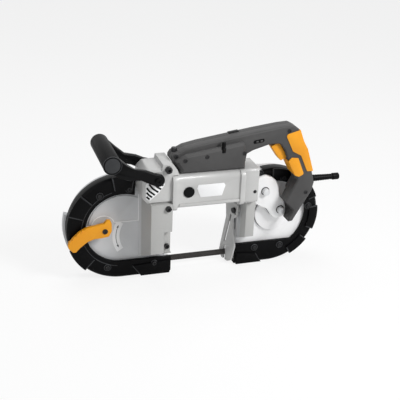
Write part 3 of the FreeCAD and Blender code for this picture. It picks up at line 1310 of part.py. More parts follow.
def trigger_block(name, half, shares):
    body = new_body(name, (TRIGGER[0], TRIGGER[1] + half, TRIGGER[2]), TRIGGER_TURN)
    pad(body, name + "_pad", half * 2, [[
        corner(trigger_unit * p[0], trigger_unit * p[1],
               trigger_unit * p[2] if len(p) > 2 else None) for p in shares]])
    return body


trigger_room_shares = [
    (-1.5, 1.03), (-1.5, -0.91), (0.85, -0.91), (0.85, 1.03)]


def shell_tools(name):
    return [trigger_block(name + "_trigger_room", trigger_half + clear_gap, trigger_room_shares),
            block(name + "_switch_room", [low - seat_gap for low in SWITCH_LOW],
                  [high + seat_gap for high in SWITCH_HIGH]),
            rod(name + "_boot_room", boot_radius, (MID_X + boot_x, SHELL_Y, AXLE + boot_z), boot_length,
                "+X"),
            plate(name + "_cover_room", [spread(cover_room_shares)], SHELL_Y + cover_half - shell_wall,
                  (cover_half - shell_wall) * 2)]


def make_shells():
    """Two halves that meet in the middle plane of the handle. The far one has a foot on the frame."""
    near = plate("shell_near", [spread(shell_shares)], SHELL_Y - parting, grip_half - parting)
    soften(near, "shell_near_edge", shell_edge, at_height(grip_half - parting), "Chamfer")
    near_cover = plate("cover_near", [spread(cover_shares)], SHELL_Y - parting, cover_half - parting)
    soften(near_cover, "cover_near_edge", cover_edge, at_height(cover_half - parting), "Chamfer")
    node(cut("handle_shell_near_cut", fuse("handle_shell_near_whole", near, near_cover),
             *shell_tools("near")), "handle_shell_near")
    far = plate("shell_far", [spread(shell_shares)], SHELL_Y + grip_half, grip_half - parting)
    soften(far, "shell_far_edge", shell_edge, at_height(Size(0, "0")), "Chamfer")
    far_cover = plate("cover_far", [spread(cover_shares)], SHELL_Y + cover_half, cover_half - parting)
    soften(far_cover, "cover_far_edge", cover_edge, at_height(Size(0, "0")), "Chamfer")
    foot_room = block("foot_room", (CASE_R + clear_gap, lip_y - cover_front - cover_bolt_height - clear_gap,
                                    AXLE - overrun),
                      (MID_X + foot_clear_x, SHELL_Y + cover_half, AXLE + foot_clear_z))
    trimmed = cut("handle_shell_far_trim", fuse("handle_shell_far_whole", far, far_cover), foot_room,
                  *shell_tools("far"))
    foot = rod("handle_foot", foot_radius, (MID_X + foot_x, BOSS_Y - seat_gap, AXLE + foot_z),
               shell_mid - panel_depth, "-Y")
    node(fuse("handle_shell_far_final", trimmed, foot), "handle_shell_far")


make_shells()
node(block("switch_box", SWITCH_LOW, SWITCH_HIGH), "switch_module")
node(trigger_block("trigger_body", trigger_half, trigger_shares), "trigger")
shell_screw_radius = size("shell_screw_radius", 3.5)
shell_screw_height = size("shell_screw_height", 1.2)
cover_screw_shares = [
    (-0.52, 1.505), (-0.105, 1.55), (0.62, 1.566)]
grip_screw_shares = [
    (-0.665, 1.56), (1.54, 1.90), (2.00, 0.606)]
node(group("shell_screws_group", [
    rod(f"shell_screw_{i}", shell_screw_radius, (p["x"], SHELL_Y - half, p["y"]), shell_screw_height, "-Y")
    for i, (p, half) in enumerate([(p, cover_half) for p in spread(cover_screw_shares)]
                                  + [(p, grip_half) for p in spread(grip_screw_shares)])]), "shell_screws")
bead = boot_tip + boot_bead
node(turned("cord_boot_shape", [
    (boot_bore, 0), (boot_radius, 0), (boot_radius, boot_socket), (boot_tip, boot_length - boot_socket),
    (bead, boot_length - boot_socket), (bead, boot_length), (boot_bore, boot_length)],
    (MID_X + boot_x, SHELL_Y, AXLE + boot_z), "+X"), "cord_boot")

# Soft pads on the rear grip
pad_rise = size("grip_pad_rise", 1.5)
back_pad_shares = [
    (1.47, 1.83, 0.05), (1.647, 1.482, 0.05), (1.823, 1.387, 0.05), (1.98, 1.05, 0.04), (2.11, 1.05),
    (2.075, 1.155), (1.955, 1.51), (1.856, 1.68), (1.765, 1.91)]
front_pad_shares = [
    (1.568, 1.29), (1.735, 0.98), (1.82, 0.95, 0.04), (1.92, 1.0, 0.04), (1.77, 1.345, 0.04),
    (1.63, 1.36)]


def make_grip_pad(name, shares):
    """A skin over both faces and one edge of the grip."""
    skin = plate(name + "_skin", [spread(shares)], SHELL_Y + grip_half + pad_rise,
                 (grip_half + pad_rise) * 2)
    core = plate(name + "_core", [spread(shell_shares)], SHELL_Y + grip_half, grip_half * 2)
    return node(cut(name + "_cut", skin, core), name)


make_grip_pad("grip_back_pad", back_pad_shares)
make_grip_pad("grip_front_pad", front_pad_shares)

# Blade guides with their rollers
guide_half = size("guide_half_length", 6.3)
guide_top = size("guide_top_drop", 63)
guide_base = size("guide_base_drop", 71)
guide_near = size("guide_near_depth", 12.6)
guide_far = size("guide_far_depth", 35.6)
roller_radius = size("roller_radius", 5)
roller_pin_radius = size("roller_pin_radius", 1.5)
roller_top = size("roller_top_drop", 82)
roller_bottom = size("roller_bottom_drop", 93)
pin_head_radius = size("pin_head_radius", 2.6)
pin_head_height = size("pin_head_height", 1.2)
GUIDES = (("front", LEFT + front_guide_reach), ("rear", RIGHT - rear_guide_reach))
ROLLER_Y = roller_radius + blade_thickness / 2 + blade_gap
pins, guides = [], []
for side, x in GUIDES:
    holes = []
    for row, y in (("near", WHEEL_Y - ROLLER_Y), ("far", WHEEL_Y + ROLLER_Y)):
        pins.append(fuse(f"pin_{side}_{row}", rod(f"pin_shank_{side}_{row}", roller_pin_radius,
                                                  (x, y, AXLE - roller_bottom - clear_gap),
                                                  roller_bottom - guide_top + clear_gap, "+Z"),
                         rod(f"pin_head_{side}_{row}", pin_head_radius,
                             (x, y, AXLE - roller_bottom - clear_gap - pin_head_height),
                             pin_head_height, "+Z")))
        holes.append(rod(f"guide_hole_{side}_{row}", roller_pin_radius, (x, y, AXLE - guide_base - overrun),
                         guide_base - guide_top + overrun * 2, "+Z"))
        node(ring(f"{side}_{row}_roller_shape", roller_pin_radius + running_gap, roller_radius,
                  roller_bottom - roller_top,
                  (x, y, AXLE - roller_bottom), "+Z"), f"{side}_{row}_roller")
    guides.append(cut(f"{side}_guide_cut", block(
        f"{side}_guide_block", (x - guide_half, deep(guide_near), AXLE - guide_base),
        (x + guide_half, deep(guide_far), AXLE - guide_top)), *holes))
node(group("blade_guides_group", guides), "blade_guides")
node(group("guide_pins_group", pins), "guide_pins")

# Work stop at the throat: a plate turned a little towards the front, clamped to a boss on the pillar
stop_shares = [
    (-0.24, -0.10, 0.03), (-0.12, -0.17, 0.03), (-0.028, -0.17), (-0.028, 0.15), (0.028, 0.15),
    (0.028, -0.17), (0.09, -0.17, 0.03), (0.19, -0.05, 0.03), (0.0, 0.80, 0.05), (0.04, 1.19, 0.04),
    (-0.36, 1.19, 0.04), (-0.36, 0.93, 0.04), (-0.235, 0.84, 0.03), (-0.25, 0.63, 0.02),
    (-0.33, 0.25, 0.05)]
long_slot_shares = [(-0.18, 0.90), (-0.02, 0.24), (0.03, 0.24), (-0.13, 0.90)]
stop_turn_deg = 16
stop_x = size("work_stop_x", 61)
stop_z = size("work_stop_drop", 87)
stop_wall = size("work_stop_wall", 4)
stop_travel = size("work_stop_travel", 6)
clamp_s = size("clamp_forward", 28)
clamp_v = size("clamp_height", 105)
clamp_radius = size("clamp_screw_radius", 3)
clamp_head = size("clamp_head_radius", 5.5)
clamp_head_height = size("clamp_head_height", 4)
clamp_head_gap = size("clamp_head_gap", 1.2)
clamp_boss = size("clamp_boss_radius", 6.8)
clamp_reach = size("clamp_reach", 30)
STOP = (MID_X + stop_x, lip_y + wheel_depth, AXLE - stop_z)
STOP_TURN = Rotation(Vector(0, 0, 1), stop_turn_deg) * SIDE
ON_PLATE = (Size(0, "0"), Size(0, "0"))
PILLAR_X = RIGHT - pillar_near


def make_work_stop():
    """A slotted plate round the blade. Its slot lets it rise along the clamp screw."""
    body = new_body("work_stop_plate", STOP, STOP_TURN)
    pad(body, "work_stop_pad", stop_wall, [spread(stop_shares, ON_PLATE)])
    gap = clamp_radius + clear_gap
    low = clamp_v - stop_travel - gap
    pocket(body, "work_stop_slots", stop_wall, [
        [corner(-clamp_s - gap, low), corner(-clamp_s + gap, low),
         corner(-clamp_s + gap, clamp_v + gap), corner(-clamp_s - gap, clamp_v + gap)],
        spread(long_slot_shares, ON_PLATE)], height=stop_wall)
    return node(body, "work_stop")


def clamp_rod(name, radius, start, length):
    """A round bar on the clamp's axis, square to the plate, from a height over the plate's front face."""
    body = new_body(name, STOP, STOP_TURN)
    pad(body, name + "_pad", length, circles=[(-clamp_s, clamp_v, radius)], height=start)
    return body


def up_to_pillar(name, *pieces):
    """Whatever reaches into the pillar is cut off at its face."""
    far = PILLAR_X + clamp_reach
    return cut(name, fuse(name + "_long", *pieces) if len(pieces) > 1 else pieces[0],
               block(name + "_end", (PILLAR_X - seat_gap, lip_y - clamp_reach * 2, AXLE - clamp_reach),
                     (far, lip_y + clamp_reach * 2, AXLE + clamp_reach * 2)))


make_work_stop()
node(cut("stop_holder_bored",
         up_to_pillar("stop_holder_boss",
                      clamp_rod("stop_holder_rod", clamp_boss, stop_wall + clear_gap, clamp_reach)),
         clamp_rod("stop_holder_hole", clamp_radius, stop_wall, clamp_reach * 2)), "stop_holder")
node(up_to_pillar("stop_screw_cut",
                  clamp_rod("clamp_shank", clamp_radius, -clamp_head_gap, clamp_reach),
                  clamp_rod("clamp_head", clamp_head, -clamp_head_gap - clamp_head_height,
                            clamp_head_height)), "stop_screw")


def export_all():
    os.makedirs("parts", exist_ok=True)
    doc.recompute()
    failed = [o.Label for o in doc.Objects if {"Invalid", "Error"} & set(o.State)]
    broken = [o.Label for o in nodes if o.Shape.isNull() or not o.Shape.isValid()]
    if failed or broken:
        raise RuntimeError(f"failed: {failed}, broken: {broken}")
    for piece in nodes:
        piece.Shape.exportStep(os.path.join("parts", piece.Label + ".step"))
        print(f"{piece.Label}: {len(piece.Shape.Solids)} solids, {piece.Shape.Volume / 1000:.1f} cm3")


export_all()
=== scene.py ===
# %% [markdown]
# # A portable band saw
# The solid parts of the saw come from CAD as a fixed frame. This lesson dresses that frame: every part gets
# a finish with its own grain and gloss, cast and moulded edges are eased, and small pieces that CAD left
# plain, such as screws, bumper pads and ribs, are modelled. Blender works in metres here, with +X along the
# blade, -Y towards the motor and +Z up.

# %% Load the frame
import bpy
import json
import math
from mathutils import Matrix, Vector


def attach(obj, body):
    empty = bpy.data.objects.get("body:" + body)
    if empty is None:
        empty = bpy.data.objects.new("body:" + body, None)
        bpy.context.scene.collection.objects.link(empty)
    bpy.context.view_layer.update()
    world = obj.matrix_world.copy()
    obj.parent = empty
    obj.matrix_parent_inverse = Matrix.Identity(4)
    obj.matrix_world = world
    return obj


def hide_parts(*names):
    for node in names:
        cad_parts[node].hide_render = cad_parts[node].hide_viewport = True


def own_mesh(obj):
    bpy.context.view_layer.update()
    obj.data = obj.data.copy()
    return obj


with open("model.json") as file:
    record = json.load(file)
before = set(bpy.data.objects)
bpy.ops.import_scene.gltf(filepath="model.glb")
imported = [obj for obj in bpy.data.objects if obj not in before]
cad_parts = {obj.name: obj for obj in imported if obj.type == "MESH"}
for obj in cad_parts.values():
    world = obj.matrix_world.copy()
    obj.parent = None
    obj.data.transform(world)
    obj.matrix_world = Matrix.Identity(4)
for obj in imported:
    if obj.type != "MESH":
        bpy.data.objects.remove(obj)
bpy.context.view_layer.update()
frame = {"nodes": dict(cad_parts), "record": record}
nodes = frame["nodes"]
bodies = frame["record"]["behaviour"]["bodies"]
body_of = {node: body for body, members in bodies.items() for node in members}

# %% [markdown]
# ## Finishes
# A moulded or cast surface is never one flat colour. Each finish reads Object coordinates, so its grain
# stays on the part. A coarse noise drifts the colour, and a fine one gives bump and gloss. An image texture
# could do the same, but noise nodes need no file and no unwrapping.

# %% Helper that mixes in a second paint
def by_place(tree, source, colour, paint, ranges):
    """Mixes in another colour where every range along an axis holds, so one casting can have two colours.
    """
    place = tree.nodes.new("ShaderNodeSeparateXYZ")
    tree.links.new(source, place.inputs["Vector"])
    share = None
    for axis, low, high in ranges:
        inside = tree.nodes.new("ShaderNodeMapRange")
        inside.inputs["From Min"].default_value = low
        inside.inputs["From Max"].default_value = high
        tree.links.new(place.outputs[axis], inside.inputs["Value"])
        both = tree.nodes.new("ShaderNodeMath")
        both.operation = "MULTIPLY"
        both.inputs[0].default_value = 1.0
        if share is not None:
            tree.links.new(share, both.inputs[0])
        tree.links.new(inside.outputs["Result"], both.inputs[1])
        share = both.outputs["Value"]
    mix = tree.nodes.new("ShaderNodeMix")
    mix.data_type = "RGBA"
    mix.inputs["B"].default_value = (*paint, 1.0)
    tree.links.new(share, mix.inputs["Factor"])
    tree.links.new(colour, mix.inputs["A"])
    return mix.outputs["Result"]


print("paint helper ready")

# %% [markdown]
# ## One finish
# Paint, plastic, rubber and metal differ in colour, gloss and grain, but are built alike. So one helper
# wires the Principled shader, and each finish only gives its own numbers. Wiring every material by hand
# would work too, but a change to the grain would then have to be made fifteen times.

# %% Helper that builds one finish
drift_scale, drift_detail = 18.0, 4.0
grain_scale, grain_detail = 900.0, 2.0
drift_ends = (0.3, 0.7)
gloss_swing = 0.07
grain_depth = 0.0004


def noise(tree, source, scale, detail):
    """A noise texture on the part's own coordinates."""
    texture = tree.nodes.new("ShaderNodeTexNoise")
    texture.inputs["Scale"].default_value = scale
    texture.inputs["Detail"].default_value = detail
    tree.links.new(source, texture.inputs["Vector"])
    return texture.outputs["Fac"]


def finish(name, dark, light, rough, bump=0.08, metal=0.0, coat=0.0, stretch=None, shine=0.5, places=()):
    """A Principled material whose colour drifts from dark to light, with fine grain in gloss and bump."""
    material = bpy.data.materials.new(name)
    material.use_nodes = True
    tree = material.node_tree
    shader = tree.nodes["Principled BSDF"]
    source = tree.nodes.new("ShaderNodeTexCoord").outputs["Object"]
    if stretch is not None:
        mapping = tree.nodes.new("ShaderNodeMapping")
        mapping.inputs["Scale"].default_value = stretch
        tree.links.new(source, mapping.inputs["Vector"])
        source = mapping.outputs["Vector"]
    drift = noise(tree, source, drift_scale, drift_detail)
    grain = noise(tree, source, grain_scale, grain_detail)
    ramp = tree.nodes.new("ShaderNodeValToRGB")
    for stop, position, tint in zip(ramp.color_ramp.elements, drift_ends, (dark, light)):
        stop.position = position
        stop.color = (*tint, 1.0)
    tree.links.new(drift, ramp.inputs["Fac"])
    colour = ramp.outputs["Color"]
    for paint, ranges in places:
        colour = by_place(tree, source, colour, paint, ranges)
    tree.links.new(colour, shader.inputs["Base Color"])
    gloss = tree.nodes.new("ShaderNodeMapRange")
    gloss.inputs["To Min"].default_value = rough - gloss_swing
    gloss.inputs["To Max"].default_value = rough + gloss_swing
    tree.links.new(grain, gloss.inputs["Value"])
    tree.links.new(gloss.outputs["Result"], shader.inputs["Roughness"])
    dents = tree.nodes.new("ShaderNodeBump")
    dents.inputs["Strength"].default_value = bump
    dents.inputs["Distance"].default_value = grain_depth
    tree.links.new(grain, dents.inputs["Height"])
    tree.links.new(dents.outputs["Normal"], shader.inputs["Normal"])
    shader.inputs["Metallic"].default_value = metal
    shader.inputs["Specular IOR Level"].default_value = shine
    shader.inputs["Coat Weight"].default_value = coat
    return material


print("finish helper ready")

# %% [markdown]
# ## The finishes of this saw
# The castings are painted silver and white, the shells are dark plastic, the bumpers and grips black
# rubber, and the pieces for the hand orange. The frame is one casting but not one colour, so its finish
# picks the colour by place: near white on the right panel, a darker, slightly warmer silver on the
# columns. Cutting the mesh apart would do it too, but leaves a seam.

# %% Make the finishes
# Near white on the right panel, a darker silver on the columns.
right_panel = (("X", 0.066, 0.078), ("Y", 0.0255, 0.0275))
columns = (("Y", 0.020, 0.014),)
looks = {
    "frame_paint": dict(dark=(0.57, 0.58, 0.59), light=(0.63, 0.64, 0.65), rough=0.42, bump=0.10, coat=0.1,
                        places=[((0.88, 0.88, 0.885), right_panel), ((0.42, 0.42, 0.41), columns)]),
    "silver_paint": dict(dark=(0.47, 0.47, 0.465), light=(0.54, 0.54, 0.53), rough=0.36, bump=0.10,
                         coat=0.1),
    "white_paint": dict(dark=(0.82, 0.825, 0.83), light=(0.88, 0.885, 0.89), rough=0.40, coat=0.1),
    "orange_plastic": dict(dark=(0.76, 0.30, 0.008), light=(0.84, 0.36, 0.012), rough=0.48, bump=0.12,
                           shine=0.35),
    "grey_plastic": dict(dark=(0.050, 0.049, 0.049), light=(0.066, 0.065, 0.065), rough=0.55, bump=0.2,
                         shine=0.3),
    "black_rubber": dict(dark=(0.0016, 0.0016, 0.0018), light=(0.0030, 0.0030, 0.0034), rough=0.38,
                         bump=0.12, shine=0.08),
    # A lighter grey rubber that paints highlights on edges of the black rubber.
    "painted_highlight_rubber": dict(dark=(0.022, 0.023, 0.025), light=(0.045, 0.047, 0.05), rough=0.45, bump=0.2,
                        shine=0.25),
    "black_plastic": dict(dark=(0.0015, 0.0015, 0.0017), light=(0.0032, 0.0032, 0.0036), rough=0.32,
                          shine=0.10),
    # A dark grey that paints shade and shadow round the gear cover, its bolts and the drive boss.
    "painted_shade_grey": dict(dark=(0.040, 0.040, 0.043), light=(0.065, 0.065, 0.068), rough=0.60, bump=0.05,
                      shine=0.2),
    "dark_screw": dict(dark=(0.006, 0.006, 0.007), light=(0.014, 0.014, 0.015), rough=0.38, metal=0.3,
                       bump=0.05),
    "bright_bolt": dict(dark=(0.62, 0.63, 0.64), light=(0.74, 0.75, 0.76), rough=0.30, metal=0.3,
                        bump=0.03),
    "steel": dict(dark=(0.34, 0.34, 0.35), light=(0.48, 0.48, 0.49), rough=0.33, metal=1.0, bump=0.06),
    "blade_steel": dict(dark=(0.030, 0.028, 0.027), light=(0.06, 0.056, 0.053), rough=0.42, metal=0.6,
                        stretch=(0.1, 1.0, 4.0)),
    "wheel_metal": dict(dark=(0.42, 0.43, 0.44), light=(0.52, 0.53, 0.53), rough=0.4, metal=0.8),
    "bronze": dict(dark=(0.38, 0.19, 0.06), light=(0.50, 0.27, 0.10), rough=0.35, metal=1.0),
}
finishes = {name: finish(name, **numbers) for name, numbers in looks.items()}
print("finishes:", len(finishes))

# %% [markdown]
# ## Dressing the CAD parts
# Every CAD part wears one finish. The table goes from finish to parts, because one finish is worn by many,
# and what it doesn't name is plain steel, as most of the inside is.

# %% Give every CAD part its finish
wears = {
    "frame_paint": ["main_frame"],
    "silver_paint": ["motor_housing", "motor_end_cap", "gear_case", "work_stop", "stop_holder"],
    "white_paint": ["gear_cover"],
    "orange_plastic": ["tension_lever", "trigger", "grip_back_pad", "grip_front_pad"],
    "grey_plastic": ["handle_shell_near", "handle_shell_far"],
    "black_rubber": ["front_bumper", "rear_bumper", "cord_boot", "front_handle_grip", "idler_tyre",
                     "drive_tyre"],
    "black_plastic": ["front_handle_arm_near", "front_handle_arm_far", "brush_caps", "switch_module",
                      "carbon_brushes", "motor_fan"],
    "dark_screw": ["bumper_screws", "shell_screws", "handle_bolts", "stop_screw"],
    "bright_bolt": ["gear_cover_bolts", "drive_nut", "idler_nut"],
    "blade_steel": ["blade"],
    "wheel_metal": ["idler_wheel", "drive_wheel"],
    "bronze": ["commutator", "worm_gear", "shaft_bushes"],
}
look_of = {node: look for look, members in wears.items() for node in members}
for name, part in nodes.items():
    part.data.materials.clear()
    part.data.materials.append(finishes[look_of.get(name, "steel")])
print("dressed:", len(nodes))

# %% [markdown]
# ## Rounding and dressing a piece
# On the real saw no edge is knife sharp, and the rounded edges catch the light. A Bevel modifier that only
# takes the sharp edges rounds them, where bevelling by hand would mean picking hundreds of edges. Every
# piece then needs its finish and the body that it moves with, so that is one helper too. Sizes are written
# in millimetres.

# %% Helpers that round and dress a piece
per_metre = 1000.0
sharp_turn = math.radians(35.0)
smooth_turn = math.radians(32.0)


def only(piece):
    """Deselects everything else and makes one piece active."""
    bpy.ops.object.select_all(action="DESELECT")
    bpy.context.view_layer.objects.active = piece
    piece.select_set(True)


def round_edges(piece, width, segments=2):
    """Bevels the sharp edges, then shades the rest smooth."""
    only(piece)
    bevel = piece.modifiers.new("edge", "BEVEL")
    bevel.width = width / per_metre
    bevel.segments = segments
    bevel.limit_method = "ANGLE"
    bevel.angle_limit = sharp_turn
    bpy.ops.object.modifier_apply(modifier=bevel.name)
    bpy.ops.object.shade_smooth_by_angle(angle=smooth_turn)


def dress(piece, look, body="saw"):
    """Gives a piece its finish and the body that it moves with."""
    piece.data.materials.clear()
    piece.data.materials.append(finishes[look])
    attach(piece, body)
    return piece


# %% [markdown]
# ## Eased edges
# The castings come out of a mould with rounded edges, and the plastic shells are rounder still. The parts
# could be modelled again, but their shapes are right already. So a copy of each part has its triangles
# merged into clean faces, is bevelled, and stands in for the part. The foot of the rear handle is also
# drawn in a little, where the mould clears a bolt of the gear cover.

# %% Helpers that copy a CAD part and draw it in
origin = (-5.0, 25.5, 106.5)


def front_view(point):
    """A point's place in the front view, in millimetres from the middle of the axle line."""
    return point.x * per_metre - origin[0], point.z * per_metre - origin[2]


def soft(share):
    """A share kept between 0 and 1 that starts and ends gently."""
    share = min(1.0, max(0.0, share))
    return share * share * (3.0 - 2.0 * share)


def cad_copy(node, name):
    """A copy of a CAD part with a mesh of its own."""
    piece = nodes[node].copy()
    piece.data = nodes[node].data.copy()
    piece.name = name
    piece.parent = None
    piece.matrix_world = Matrix.Identity(4)
    bpy.context.scene.collection.objects.link(piece)
    return piece


def hollowed(piece, x, z, reach, push):
    """Draws the outline inwards round one place in the front view, as the mould does to clear a bolt."""
    for vertex in piece.data.vertices:
        here = front_view(vertex.co)
        share = soft(1.0 - math.hypot(here[0] - x, here[1] - z) / reach)
        vertex.co.x += push[0] * share / per_metre
        vertex.co.z += push[1] * share / per_metre


print("front view starts at", origin)

# %% [markdown]
# ## Easing the castings and mouldings
# Each part has its own edge width: the end cap and trigger are rounder than the frame. The triangles are
# merged and flat neighbours joined first, because a bevel on loose triangles would round every one of them.

# %% Ease the edges of the castings and mouldings
merge_distance = 0.000002
flat_turn = math.radians(1.0)
bolt_hollow = (165.0, 22.0, 30.0, (11.0, -4.0))


def eased(node, width):
    """A copy of a CAD part with its edges rounded."""
    piece = cad_copy(node, node + "_eased")
    only(piece)
    bpy.ops.mesh.customdata_custom_splitnormals_clear()
    if node.startswith("handle_shell"):
        hollowed(piece, *bolt_hollow)
    bpy.ops.object.mode_set(mode="EDIT")
    bpy.ops.mesh.select_all(action="SELECT")
    bpy.ops.mesh.remove_doubles(threshold=merge_distance)
    bpy.ops.mesh.dissolve_limited(angle_limit=flat_turn)
    bpy.ops.object.mode_set(mode="OBJECT")
    round_edges(piece, width)
    dress(piece, look_of.get(node, "steel"), body_of[node])
    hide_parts(node)
    return piece


edges = {"main_frame": 0.9, "motor_housing": 1.0, "gear_case": 1.2, "motor_end_cap": 1.6,
         "front_bumper": 1.2, "rear_bumper": 1.2, "handle_shell_near": 1.4, "handle_shell_far": 1.4,
         "grip_back_pad": 0.7, "grip_front_pad": 0.7, "trigger": 1.6, "tension_lever": 2.0,
         "work_stop": 0.8, "stop_holder": 0.6, "brush_caps": 0.6}
for node, width in edges.items():
    piece = eased(node, width)
    print(piece.name, len(piece.data.polygons), "faces")

# %% [markdown]
# ## Moulded plates
# A moulded plate is an outline seen from the front that is pushed out to its thickness, as a mould half
# does. Most outlines on this saw are straight or follow a wheel, so arcs and curved strips give nearly all
# of them. Boolean cuts could give the same forms, but leave ragged meshes.

# %% Outlines and plates in millimetres, measured from the middle of the axle line
def spot(x, y, z):
    """A point of the saw in the frame's metres."""
    return Vector((x + origin[0], y + origin[1], z + origin[2])) / per_metre


def arc(x, z, radius, first, last, steps=14):
    """Points on an arc about a centre in the front view."""
    turns = [math.radians(first + (last - first) * i / steps) for i in range(steps + 1)]
    return [(x + radius * math.cos(turn), z + radius * math.sin(turn)) for turn in turns]


def band(x, z, inner, outer, first, last, steps=14):
    """The outline of a curved strip between two radii."""
    return arc(x, z, outer, first, last, steps) + arc(x, z, inner, last, first, steps)


def slab(name, outline, far, near):
    """A front-view outline pushed from its far face out to its near one."""
    bpy.ops.object.select_all(action="DESELECT")
    bpy.ops.mesh.primitive_circle_add(vertices=len(outline), radius=0.01, fill_type="NGON")
    piece = bpy.context.object
    piece.name = name
    for vertex, (x, z) in zip(piece.data.vertices, outline):
        vertex.co = spot(x, far, z)
    bpy.ops.object.mode_set(mode="EDIT")
    bpy.ops.mesh.select_all(action="SELECT")
    bpy.ops.mesh.extrude_region_move(TRANSFORM_OT_translate={"value": (0.0, (near - far) / per_metre, 0.0)})
    bpy.ops.mesh.select_all(action="SELECT")
    bpy.ops.mesh.normals_make_consistent(inside=False)
    bpy.ops.object.mode_set(mode="OBJECT")
    return piece


def moulded(name, outline, far, near, edge, look, body="saw", segments=2):
    """A slab with rounded edges in its finish."""
    piece = slab(name, outline, far, near)
    round_edges(piece, edge, segments)
    return dress(piece, look, body)


print("plate helpers:", [tool.__name__ for tool in (spot, arc, band, slab, moulded)])

# %% [markdown]
# ## Turned pieces and copies
# A turned piece is a round disc that is extruded and widened step by step, as a lathe would leave it. A
# spun profile gives the same form, but has to be closed and turned the right way round afterwards. What
# repeats is modelled once and copied, each copy with its own mesh.

# %% Turned pieces and copies
axis_turns = {"-Y": (math.pi / 2, 0.0, 0.0), "+X": (0.0, math.pi / 2, 0.0), "+Z": (0.0, 0.0, 0.0)}
round_turn = math.radians(35.0)


def turned(name, profile, place, along, sides=40):
    """A round piece. Profile points are (radius, distance along the axis)."""
    bpy.ops.object.select_all(action="DESELECT")
    bpy.ops.mesh.primitive_circle_add(vertices=sides, radius=profile[0][0] / per_metre, fill_type="NGON")
    piece = bpy.context.object
    piece.name = name
    bpy.ops.object.mode_set(mode="EDIT")
    bpy.ops.mesh.select_all(action="SELECT")
    for (wide, start), (next_wide, end) in zip(profile, profile[1:]):
        step = (0.0, 0.0, (end - start) / per_metre)
        bpy.ops.mesh.extrude_region_move(TRANSFORM_OT_translate={"value": step})
        share = next_wide / wide
        bpy.ops.transform.resize(value=(share, share, 1.0), center_override=(0.0, 0.0, end / per_metre))
    bpy.ops.mesh.select_all(action="SELECT")
    bpy.ops.mesh.normals_make_consistent(inside=False)
    bpy.ops.object.mode_set(mode="OBJECT")
    piece.rotation_euler = axis_turns[along]
    piece.location = spot(*place)
    bpy.ops.object.transform_apply(location=True, rotation=True, scale=True)
    bpy.ops.object.shade_smooth_by_angle(angle=round_turn)
    return piece


def copied(piece, name, shift):
    """Another of the same piece with a mesh of its own, moved by millimetres."""
    twin = piece.copy()
    twin.data = piece.data.copy()
    twin.name = name
    twin.data.transform(Matrix.Translation(Vector(shift) / per_metre))
    bpy.context.scene.collection.objects.link(twin)
    return twin


print("turning helpers:", [tool.__name__ for tool in (turned, copied)])

# %% [markdown]
# ## Rubber bumpers
# The bumpers that take the knocks are moulded rubber. Thick pads stand proud of the rim, with lower
# stretches between them where the screws sit. On the saw the pads and the rim are one moulding. Here each
# pad is a curved strip pushed out of the rim's face, which keeps its edges crisp.

# %% Raised pads of the bumpers
left_rim = (-156, 0, 80, 109.0)
right_rim = (148, -4, 84, 102.6)
pads = [("front_pad_top", left_rim, 78, 101), ("front_pad_left", left_rim, 136, 161),
        ("front_pad_low", left_rim, 199, 227), ("rear_pad_top", right_rim, 64, 92),
        ("rear_pad_side", right_rim, 20, 50), ("rear_pad_end", right_rim, -22, 8),
        ("rear_pad_low", right_rim, -62, -36)]
feet = [("front_pad_foot", [(-137, -82), (-119, -105.8), (-62, -105.8), (-62, -77)]),
        ("rear_pad_foot", [(132, -105.6), (120, -85), (78, -80), (78, -105.6)])]
outlines = [(name, band(*rim, first, last)) for name, rim, first, last in pads] + feet
for name, outline in outlines:
    moulded(name, outline, far=1.0, near=-3.4, edge=1.1, look="black_rubber")
print("pads:", len(outlines))

# %% [markdown]
# ## Painted highlights on the pads
# The ends of the pads catch the light, so a thin strip of lighter grey rubber along each end paints that
# highlight in. A paint mask could show it too, but the strip also gives a small step. A narrow lip of the
# same rubber closes the left bumper on the inside and paints the highlight along that edge.

# %% Painted highlights on the pad ends and the inner lip
half_turn, half_foot, inset_turn = 0.6, 0.9, 0.5
ends = [(f"{name}_end_{i}", band(x, z, inner + 1.5, outer - 0.6, turn - half_turn, turn + half_turn, 1))
        for name, (x, z, inner, outer), first, last in pads
        for i, turn in enumerate((first + inset_turn, last - inset_turn))]
ends += [(f"{name}_end", [(a[0] + half_foot, a[1]), (b[0] + half_foot, b[1]),
                          (b[0] - half_foot, b[1]), (a[0] - half_foot, a[1])])
         for name, (a, b) in ((name, corners[:2]) for name, corners in feet)]
# Each strip paints the highlight on a pad's end.
for name, outline in ends:
    moulded(name, outline, far=0.0, near=-3.6, edge=0.4, look="painted_highlight_rubber")
# This lip paints the highlight along the bumper's inner edge.
moulded("bumper_inner_lip", band(*left_rim[:2], 78.4, 79.8, 105, 262, 48), far=2.0, near=-1.2, edge=0.4,
        look="painted_highlight_rubber")
print("pad end highlights:", len(ends))

# %% [markdown]
# ## Screws
# Nearly every screw on the outside is a socket screw: a turned head with a hole for the key. An inset and
# an extrusion on its face sink the hole. It is left round, because its six sides don't show at this size.
# Where a screw repeats, the others are copies of the first with meshes of their own.

# %% One socket screw
head_chamfer = 0.5
inset_share, socket_share = 0.42, 0.6


def socket_screw(name, place, radius, height):
    """A screw head towards the front, with its socket sunk into the face."""
    profile = [(radius, 0.0), (radius, height - head_chamfer), (radius - head_chamfer, height)]
    screw = turned(name, profile, place, "-Y", sides=24)
    bpy.ops.object.mode_set(mode="EDIT")
    bpy.ops.mesh.select_all(action="DESELECT")
    bpy.ops.object.mode_set(mode="OBJECT")
    face = min(screw.data.polygons, key=lambda polygon: polygon.center.y)
    face.select = True
    bpy.ops.object.mode_set(mode="EDIT")
    bpy.ops.mesh.inset(thickness=radius * inset_share / per_metre)
    sink = (0.0, height * socket_share / per_metre, 0.0)
    bpy.ops.mesh.extrude_region_move(TRANSFORM_OT_translate={"value": sink})
    bpy.ops.object.mode_set(mode="OBJECT")
    return screw


print("screw helper ready")
